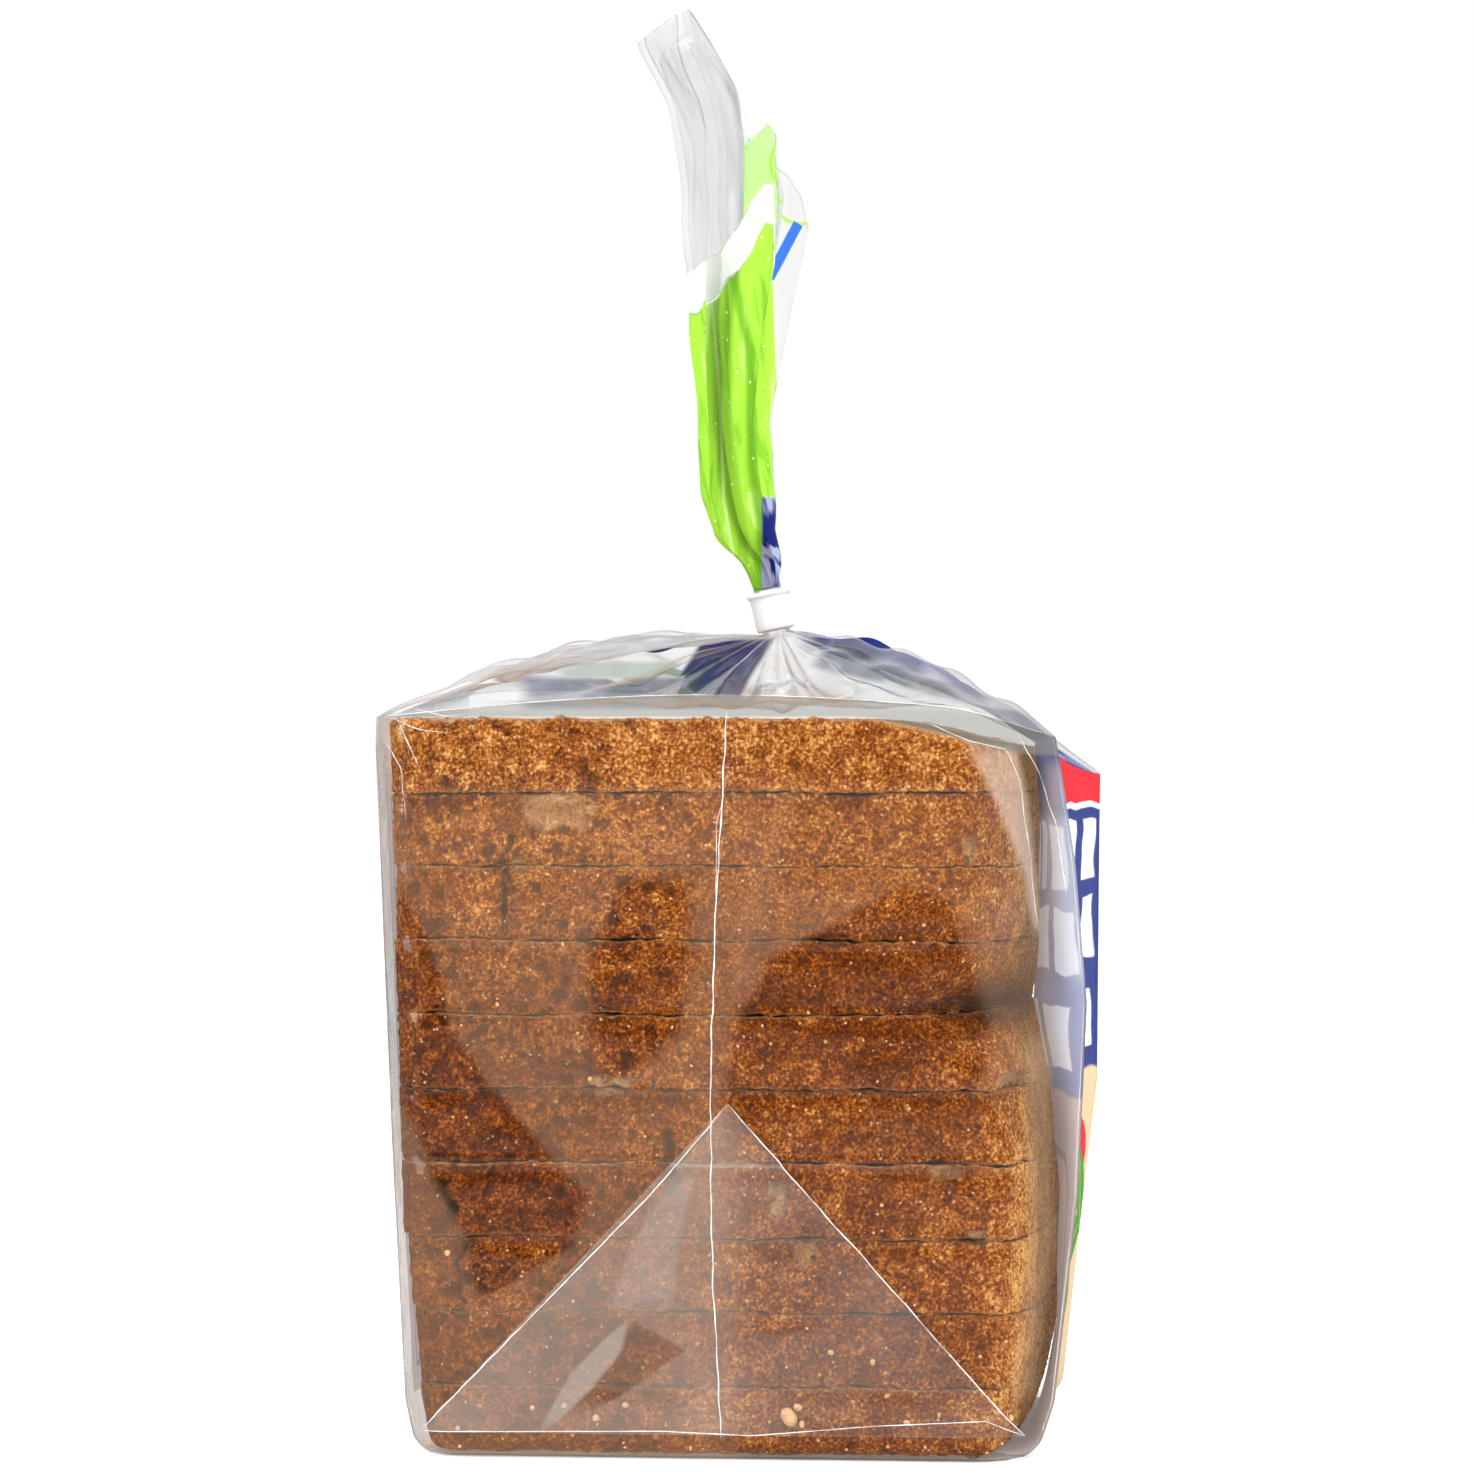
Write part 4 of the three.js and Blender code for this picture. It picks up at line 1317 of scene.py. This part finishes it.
def tail_print(tree, at):
    raw_x = at.x + at.y * math.tan(CAMERA_AZIMUTH)
    seen_x = raw_x.most(-16).math("MINIMUM", 7)
    ragged = tree.noise(at.place, 130, 1) * 5 - 2.5
    under = curve(seen_x, GREEN_TOP) - at.z + ragged
    label = under.inside(-7.6, -0.4, 0.4) * (1 - seen_x.step(3, 4))
    faint = under.inside(-22, -7.6, 0.5) * seen_x.inside(-2.6, 3.2, 0.5)
    east, north = raw_x - TAB_MIDDLE[0], at.z - TAB_MIDDLE[1]
    off_tab = (east * math.cos(TAB_LEAN) - north * math.sin(TAB_LEAN)).inside(-0.95, 0.95, 0.15)
    on_tab = (east * math.sin(TAB_LEAN) + north * math.cos(TAB_LEAN)).inside(-6.2, 6.2, 0.15)
    tab = at.y.step(-0.5, 0.5) * off_tab * on_tab
    ring_x, ring_z = raw_x - RING_MIDDLE[0], at.z - RING_MIDDLE[1]
    ring = (ring_x * ring_x + ring_z * ring_z).math("SQRT").inside(5.3, 5.9, 0.15)
    share = under.step(-0.3, 0.3) * 0.93
    for mask in (label * 0.6, faint * 0.4, tab * 0.95, ring * 0.8):
        share = share.most(mask)

    # Painted light and shade: the noise darkens and lightens the lime and the navy strip along the folds,
    # and two lines paint a shaded fold and a lit one.
    deep = tree.noise(tree.stretched(at.place, 0.12), 260, 2)
    off_shaded_fold = abs(seen_x - curve(at.z, PAINTED_FOLD_SHADE))
    off_lit_fold = abs(seen_x - curve(at.z, PAINTED_FOLD_HIGHLIGHT))
    speck = 1 - tree.cells(at.place, 330).step(0.06, 0.10)
    navy = (1 - at.z.step(171, 172)) * seen_x.step(0.2, 1)
    colour = LIME
    for mask, over in (
        (deep.step(0.54, 0.66) * 0.55, LIME_IN_PAINTED_SHADE),
        ((1 - deep.step(0.30, 0.42)) * 0.8, srgb(196, 236, 130)),
        ((1 - off_shaded_fold.step(0.2, 1.6)) * 0.75, LIME_IN_PAINTED_SHADE),
        ((1 - off_lit_fold.step(0.1, 0.5)) * 0.6, srgb(206, 240, 150)),
        (speck * 0.8, srgb(226, 246, 190)),
        (navy, tree.paint(deep.step(0.46, 0.56) * 0.7, DEEP_NAVY, srgb(170, 176, 206))),
        (label, srgb(232, 238, 228)),
        (faint, srgb(170, 226, 120)),
        (ring, LIME),
        (tab, srgb(50, 96, 180)),
    ):
        colour = tree.paint(mask, colour, over)
    return share, colour


tail_film = film_finish("film_tail", tail_painted_reflection, tail_tint, tail_print, wrinkle=0.6, stretch=0.15)


# %% [markdown]
# Body, shoulder and tail are three tubes of film. Each point carries its place round the bag
# and its share of the way up as a map, which the print reads, and each panel has its own finish
# outside and inside. A tube's last row starts the map over, so the print has no seam there.


# %% Film pieces
def across_places(gusset_steps, panel_steps):
    steps = (gusset_steps, panel_steps, gusset_steps, panel_steps)
    return np.concatenate([panel + np.arange(count) / count for panel, count in enumerate(steps)])


def film_tube(name, points, places, ups, outside, inside, closed_start=False):
    """A tube of film whose print map goes once round it, as a wall of its real thickness."""
    rows, columns = points.shape[:2]
    faces = grid_faces(rows, columns, wrap=True)
    corner_u = np.tile(places, rows)[faces]
    corner_u = np.where((faces % columns == 0) & (corner_u[:, :1] > 3), 4, corner_u) / 4
    maps = np.stack([corner_u, np.repeat(ups, columns)[faces]], -1).reshape(-1, 2)
    panels = np.minimum(corner_u.min(1) * 4, 3.99).astype(int)
    vertices = points.reshape(-1, 3)
    face_list = faces.tolist()
    if closed_start:
        vertices = np.concatenate([vertices, [points[0].mean(0)]])
        face_list += [[rows * columns, (j + 1) % columns, j] for j in range(columns)]
        maps = np.concatenate([maps, np.zeros((3 * columns, 2))])
        panels = np.append(panels, np.zeros(columns, int))
    piece = new_piece(name, vertices, face_list, [*outside, *inside])
    piece.data.polygons.foreach_set("material_index", panels.astype(np.int32))
    layer = piece.data.uv_layers.new(name="film")
    layer.data.foreach_set("uv", maps.astype(np.float32).ravel())
    make_wall(piece, len(outside))


BODY_OUTSIDE = [near_film, front_film, far_film, back_film]
BODY_INSIDE = [clear_inside, front_inside, clear_inside, back_inside]
END_SHARES = (0.05, 0.4, 0.8, 0.97)  # rings that close the flat end
END_LIFT = 0.15
places = across_places(140, 74)
heights = np.concatenate([np.linspace(0, 4, 9)[:-1], np.linspace(4, STACK, 92)])
foot_ring = wall_points(places, np.zeros(len(places)))
flat_end = np.stack([foot_ring * [share, share, 1] for share in END_SHARES]) + [0, 0, END_LIFT]
walls = wall_points(places[None, :], heights[:, None])
body = np.concatenate([flat_end, walls, rim_points(places)[None]])
ups = np.concatenate([np.zeros(len(END_SHARES)), heights / STACK, [1]])
film_tube("bag_body", body, places, ups, BODY_OUTSIDE, BODY_INSIDE, closed_start=True)

SHOULDER_OUTSIDE = [shoulder_film, shoulder_front, shoulder_far, shoulder_back]
SHOULDER_INSIDE = [clear_inside, shoulder_front, clear_inside, shoulder_back]
NECK_END = BAND_HEIGHT / 2 + NECK_PAST
places, ups = across_places(90, 70), np.linspace(0, 1, 56)
neck = neck_points(places[None, :], np.linspace(-NECK_END, NECK_END, 6)[1:, None])
shoulder = np.concatenate([shoulder_points(places[None, :], ups[:, None]), neck])
ups = np.concatenate([ups, np.ones(len(neck))])
film_tube("bag_shoulder", shoulder, places, ups, SHOULDER_OUTSIDE, SHOULDER_INSIDE)

places, ups = across_places(64, 110), np.linspace(0, 1, 80)
tail = tail_points(places[None, :], ups[:, None])
film_tube("bag_tail", tail, places, ups, [tail_film] * 4, [clear_inside] * 4)

# %% [markdown]
# At the foot each gusset is folded flat into a triangle before the end is sealed, and a crease
# runs up the middle of the gusset from where it lay flat on the roll. The folded film lies over
# the gusset, and its edges and the creases catch the light as thin white lines.

# %% Folded foot and creases
FOLD_TIP = (0.6, 62.4)
FOLD_FEET = ((-54, 4.6), (52.5, 4.6))
FOLD_PROUD = 0.32  # how far the folded film stands off the gusset, and then its creases
CREASE_PROUD = 0.45
THREAD_SIDES = 8


def on_gusset(x, z, hand, proud):
    front = along(FRONT_NEAR if hand < 0 else FRONT_FAR, z)
    reach = gusset_reach(np.minimum(x, front), z, front)
    return np.stack([x, hand * (reach + proud), z], -1)


def sparkling(name, colour, scale, low, most, least):
    """White film that shows in places and fades between them, as a crease catches light."""
    finish, tree = new_finish(name)
    sparkle = tree.noise(object_place(tree), scale).step(low, 0.65) * most + least
    show(tree, blend(tree, sparkle, tree.see_through(), plastic(tree, colour, 0.25)))
    return finish


fold_film = film_finish("film_fold", fold_painted_reflection, fold_tint)
bright_crease = sparkling("crease", (0.97, 0.95, 0.94), 120, 0.3, 0.5, 0.2)
faint_crease = sparkling("faint_crease", (0.93, 0.95, 0.92), 90, 0.35, 0.3, 0.05)


def thread(name, middle, width, outward, finish):
    """A thin round thread of folded film along a line of points, a little flattened outward."""
    turn = np.linspace(0, 2 * math.pi, THREAD_SIDES, endpoint=False)[:, None]
    ahead = np.gradient(middle, axis=0)
    ahead /= np.linalg.norm(ahead, axis=1, keepdims=True)
    side = np.cross(outward, ahead)
    side /= np.linalg.norm(side, axis=1, keepdims=True)
    ring = np.cos(turn) * side[:, None, :] + 0.6 * np.sin(turn) * outward
    rings = middle[:, None, :] + np.reshape(width, (-1, 1, 1)) * 0.5 * ring
    points = np.concatenate([rings.reshape(-1, 3), [middle[0], middle[-1]]])
    faces = grid_faces(len(middle), THREAD_SIDES, wrap=True).tolist()
    hub = len(middle) * THREAD_SIDES
    for here in range(THREAD_SIDES):
        after = (here + 1) % THREAD_SIDES
        last = hub - THREAD_SIDES
        faces += [[hub, after, here], [hub + 1, last + here, last + after]]
    stands_for(new_piece(name, points, faces, [finish]), "bag")


def crease(name, path, width, hand, finish):
    """A crease along a path of x and z on a gusset, which thins out towards its ends."""
    path = np.asarray(path, float)
    run = np.concatenate([[0], np.cumsum(np.hypot(*np.diff(path, axis=0).T))])
    at = np.linspace(0, run[-1], max(8, int(run[-1] / 1.2)))
    x, z = np.interp(at, run, path[:, 0]), np.interp(at, run, path[:, 1])
    x = x + 0.12 * sine_noise(900 + len(name), (at, 9))
    ends = np.clip(np.minimum(at, run[-1] - at) / 3, 0.15, 1)
    width = width * ends * (0.8 + 0.3 * sine_noise(910 + len(name), (at, 6)))
    thread(name, on_gusset(x, z, hand, CREASE_PROUD), width, np.array([0, hand, 0]), finish)


def fold_sheet(name, hand):
    """The triangle of gusset film folded up over the foot of the loaf."""
    share, rise = np.meshgrid(np.linspace(0, 1, 90), np.linspace(0, 1, 70))
    left = mix(FOLD_FEET[0][0], FOLD_TIP[0] - 0.2, rise)
    right = mix(FOLD_FEET[1][0], FOLD_TIP[0] + 0.2, rise)
    z = mix(FOLD_FEET[0][1], FOLD_TIP[1], rise)
    grid = on_gusset(mix(left, right, share), z, hand, FOLD_PROUD)
    grid = grid if hand < 0 else grid[:, ::-1]
    faces = grid_faces(*grid.shape[:2])
    make_wall(new_piece(name, grid.reshape(-1, 3), faces, [fold_film, clear_inside]), 1)


# %% [markdown]
# Every crease is a short list of places that it passes, measured on the photograph's side and
# used again on the far side. The lip of each gusset and the four corners of the bag get threads
# along the rules that bend the film there.

# %% The creases
# each crease: its path of x and z, its width and its finish
GUSSET_CREASES = {
    "middle": ([(-0.5, 4), (-2, 33), (-2.4, 62), (-1.5, 97), (0.6, 131)], 0.26, bright_crease),
    "middle_twin": ([(-1.5, 97), (-1.3, 112), (1.6, 124), (2.4, 132)], 0.16, faint_crease),
    "fold_left": ([FOLD_FEET[0], (-12.5, 47), FOLD_TIP], 0.24, bright_crease),
    "fold_right": ([FOLD_TIP, (24, 36.5), FOLD_FEET[1]], 0.24, bright_crease),
    "foot": ([FOLD_FEET[0], (-11, 5.2), (5, 4.6), (26, 6.5), (46, 7.6), FOLD_FEET[1]], 0.2, bright_crease),
    "corner_arc": (
        [(35, 129.5), (43, 126), (49.4, 124.5), (51.5, 119), (53.3, 106), (54.6, 93)],
        0.14,
        faint_crease,
    ),
    "corner_ray_1": ([(-58.5, 131), (-55, 124), (-53.5, 121)], 0.2, faint_crease),
    "corner_ray_2": ([(-60, 130.5), (-54, 128), (-48, 127.4)], 0.16, faint_crease),
    "corner_ray_3": ([(-61, 127), (-57, 121), (-56.4, 112)], 0.18, faint_crease),
    "corner_ray_4": ([(-56, 132), (-49, 130.3), (-44, 131)], 0.16, faint_crease),
    "front_ray_1": ([(51, 127.5), (55, 120), (58, 110), (59.6, 98)], 0.2, faint_crease),
}
for hand, side in ((-1, "near"), (1, "far")):
    fold_sheet(f"fold_{side}", hand)
    for label, (path, width, finish) in GUSSET_CREASES.items():
        crease(f"crease_{label}_{side}", path, width, hand, finish)

UP = np.array([0, 0, 1])
for side, first in (("near", 0), ("far", 2)):
    line = rim_points(first + np.linspace(0.02, 0.98, 110)) + 0.1 * UP
    thread(f"crease_lip_{side}", line, 0.2, UP, faint_crease)
CORNERS = {"front_near": 0.995, "front_far": 2.005, "back_far": 2.995, "back_near": 3.995}
for side, place in CORNERS.items():
    outward = np.array([1 if "front" in side else -1, 0, 0])
    line = wall_points(place, np.linspace(5, 129.5, 100)) + 0.1 * outward
    thread(f"crease_{side}", line, 0.24, outward, faint_crease)
print("creases", 2 * len(GUSSET_CREASES) + 2 + len(CORNERS))

# %% [markdown]
# Crumbs fall off every sliced loaf and gather at the foot, between the crust and the film. A
# few large ones are placed where the photograph shows them; the rest are scattered by Geometry
# Nodes on a list of points, each a small lump with its own turn and size.


# %% Crumbs
CRUMB = {"Crumb size": 0.0005, "Lumpiness": 0.0004}


def random_vector(tree, low, high, seed):
    inputs = {"Min": low, "Max": high, "Seed": seed}
    return tree.node("FunctionNodeRandomValue", {"data_type": "FLOAT_VECTOR"}, inputs).out()


def crumb_tree():
    group, tree, given = new_group("crumbs", CRUMB)
    ball = {"Radius": given.out("Crumb size"), "Subdivisions": 2}
    stretch = random_vector(tree, (0.6, 0.6, 0.5), (1.2, 1, 1), 9)
    placed = {
        "Points": given.out("Geometry"),
        "Instance": tree.node("GeometryNodeMeshIcoSphere", None, ball).out(),
        "Rotation": random_vector(tree, (0, 0, 0), (6.2, 6.2, 6.2), 5),
        "Scale": tree.scaled(stretch, named_number(tree, "size")),
    }
    real = make_real(tree, tree.node("GeometryNodeInstanceOnPoints", None, placed).out())
    rough = tree.noise(tree.node("GeometryNodeInputPosition").out(), 900) - 0.5
    end_group(tree, push_along_normal(tree, real, rough * given.out("Lumpiness")), given)
    return group


crumb_finish, tree = new_finish("crumb")
crumb_grain = tree.noise(object_place(tree), 1300)
golden = tree.paint(crumb_grain, (0.36, 0.15, 0.04), (0.70, 0.45, 0.22))
show(tree, plastic(tree, golden, 0.9, bump(tree, crumb_grain, 0.4, 0.0004)))
# x, z and size of the large crumbs at the near foot, row by row
LARGE_CRUMBS = [
    (11.3, 7.8, 3.6), (12.9, 9.6, 1.8), (13.6, 6.6, 1.4), (-33.9, 9, 1.3), (-28.3, 9.4, 1.1),
    (-22.7, 7.3, 1.5), (-17.6, 9.6, 1.2), (-47.1, 5.2, 1.2), (28.5, 11.7, 1.3), (26, 17.6, 1.1),
    (32, 7.1, 1.4), (37.6, 8.5, 1.1), (18.7, 19.2, 1.1), (50.1, 8, 1.1), (-49, 36, 1.2),
]
SMALL_CRUMBS = 70
draw = np.random.default_rng(77)
spots = [(x, z, -1, size) for x, z, size in LARGE_CRUMBS]
for hand in (-1, 1):
    for _ in range(SMALL_CRUMBS):
        height = 2 + 126 * draw.random() ** 2.4
        spots.append((draw.uniform(-56, 50), height, hand, draw.uniform(0.3, 0.75)))
points = [on_gusset(np.float64(x), z, hand, -0.25 - 0.18 * size) for x, z, hand, size in spots]
sizes = {"size": [size for _, _, _, size in spots]}
crumbs = new_piece("loose_crumbs", points, [], [crumb_finish], sizes)
run_group(crumbs, crumb_tree(), {**CRUMB, "Material": crumb_finish})
stands_for(crumbs, "bag")
print("crumbs", len(spots), "with", len(crumbs.data.polygons), "faces")

# %% [markdown]
# The band is a short white sleeve moulded in one, with a rolled lip at its foot. It leans with
# the neck of the bag.

# %% Neck band
BAND_SIDES = 64
# round the wall's section: how far from the sleeve's axis, and how far above its middle
PROFILE = [
    (2.95, -3.4), (3.1, -3.6), (3.4, -3.55), (3.55, -3.2), (3.55, 0), (3.6, 2.45),
    (3.8, 2.65), (4.08, 2.9), (4.1, 3.3), (3.9, 3.6), (3.4, 3.7), (3, 3.5),
]
band_finish, tree = new_finish("band")
show(tree, plastic(tree, srgb(214, 217, 217), 0.4, **{"Subsurface Weight": 0.1}))
radius, height = np.array(PROFILE).T[..., None]
turn = np.linspace(0, 2 * math.pi, BAND_SIDES, endpoint=False)
rings = on_band(radius * np.cos(turn), radius * np.sin(turn), height * np.ones(BAND_SIDES))
faces = grid_faces(len(PROFILE) + 1, BAND_SIDES, wrap=True) % (len(PROFILE) * BAND_SIDES)
band = new_piece("neck_band_sleeve", rings.reshape(-1, 3), faces.tolist(), [band_finish])
soften = band.modifiers.new("round", "SUBSURF")
soften.levels = soften.render_levels = 1
apply_modifiers(band)
stands_for(band, "neck_band")
print("band", len(band.data.polygons), "faces")

# %% [markdown]
# The studio is plain: a white world that the camera sees, a little dimmer for what it lights,
# and dark towards the camera for mirrored rays, so the film facing it stays clear. One large
# softbox hangs above, one stands at the left, and one at the right lights the dome. The floor
# is pale, and a sheet of film doesn't mirror it brightly.

# %% World and lights
WORLD_GLOW = 0.92
world = bpy.data.worlds.new("studio")
world.use_nodes = True
world.node_tree.nodes.clear()
bpy.context.scene.world = world
tree = Tree(world.node_tree.nodes, world.node_tree.links)
_, north, above = tree.parts(tree.node("ShaderNodeTexCoord").out("Generated"))
dark_front = (north * -1).step(0.80, 0.94) * (1 - above.step(0.25, 0.5))
glow = WORLD_GLOW - dark_front * tree.is_ray("Glossy") * 0.9
seen = tree.is_ray("Camera")
inputs = {"Color": WHITE, "Strength": seen + (1 - seen) * glow}
shade = tree.node("ShaderNodeBackground", None, inputs).out()
tree.node("ShaderNodeOutputWorld", None, {"Surface": shade})


def softbox(name, place, target, size, watts, mirrored=True):
    data = bpy.data.lights.new(name, "AREA")
    data.shape = "RECTANGLE"
    data.size, data.size_y = size
    data.energy = watts
    lamp = bpy.data.objects.new(name, data)
    bpy.context.scene.collection.objects.link(lamp)
    lamp.location = place
    lamp.visible_glossy = mirrored
    aim = np.array(target) - np.array(place)
    lamp.rotation_mode = "QUATERNION"
    lamp.rotation_quaternion = Vector(aim).to_track_quat("-Z", "Y")


softbox("top_box", (0.1, -0.25, 0.95), (0, 0, 0.1), (0.9, 0.7), 9)
softbox("left_box", (-0.85, -0.6, 0.55), (0, 0, 0.1), (0.35, 0.9), 5)
softbox("right_box", (0.62, -0.80, 0.5), (0, 0, 0.1), (0.3, 0.9), 7, mirrored=False)

FLOOR_HALF, FLOOR_Z = 8000, -0.05
floor_finish, tree = new_finish("floor")
pale = plastic(tree, (0.93, 0.93, 0.93), 0.7, **{"Emission Color": WHITE, "Emission Strength": 0.3})
dim = plastic(tree, (0.25, 0.25, 0.25), 0.9)
show(tree, blend(tree, tree.is_ray("Glossy") * 0.9, pale, dim))
corners = [(x * FLOOR_HALF, y * FLOOR_HALF, FLOOR_Z) for x, y in ((-1, -1), (1, -1), (1, 1), (-1, 1))]
floor = new_piece("floor", corners, [(0, 1, 2, 3)], [floor_finish])
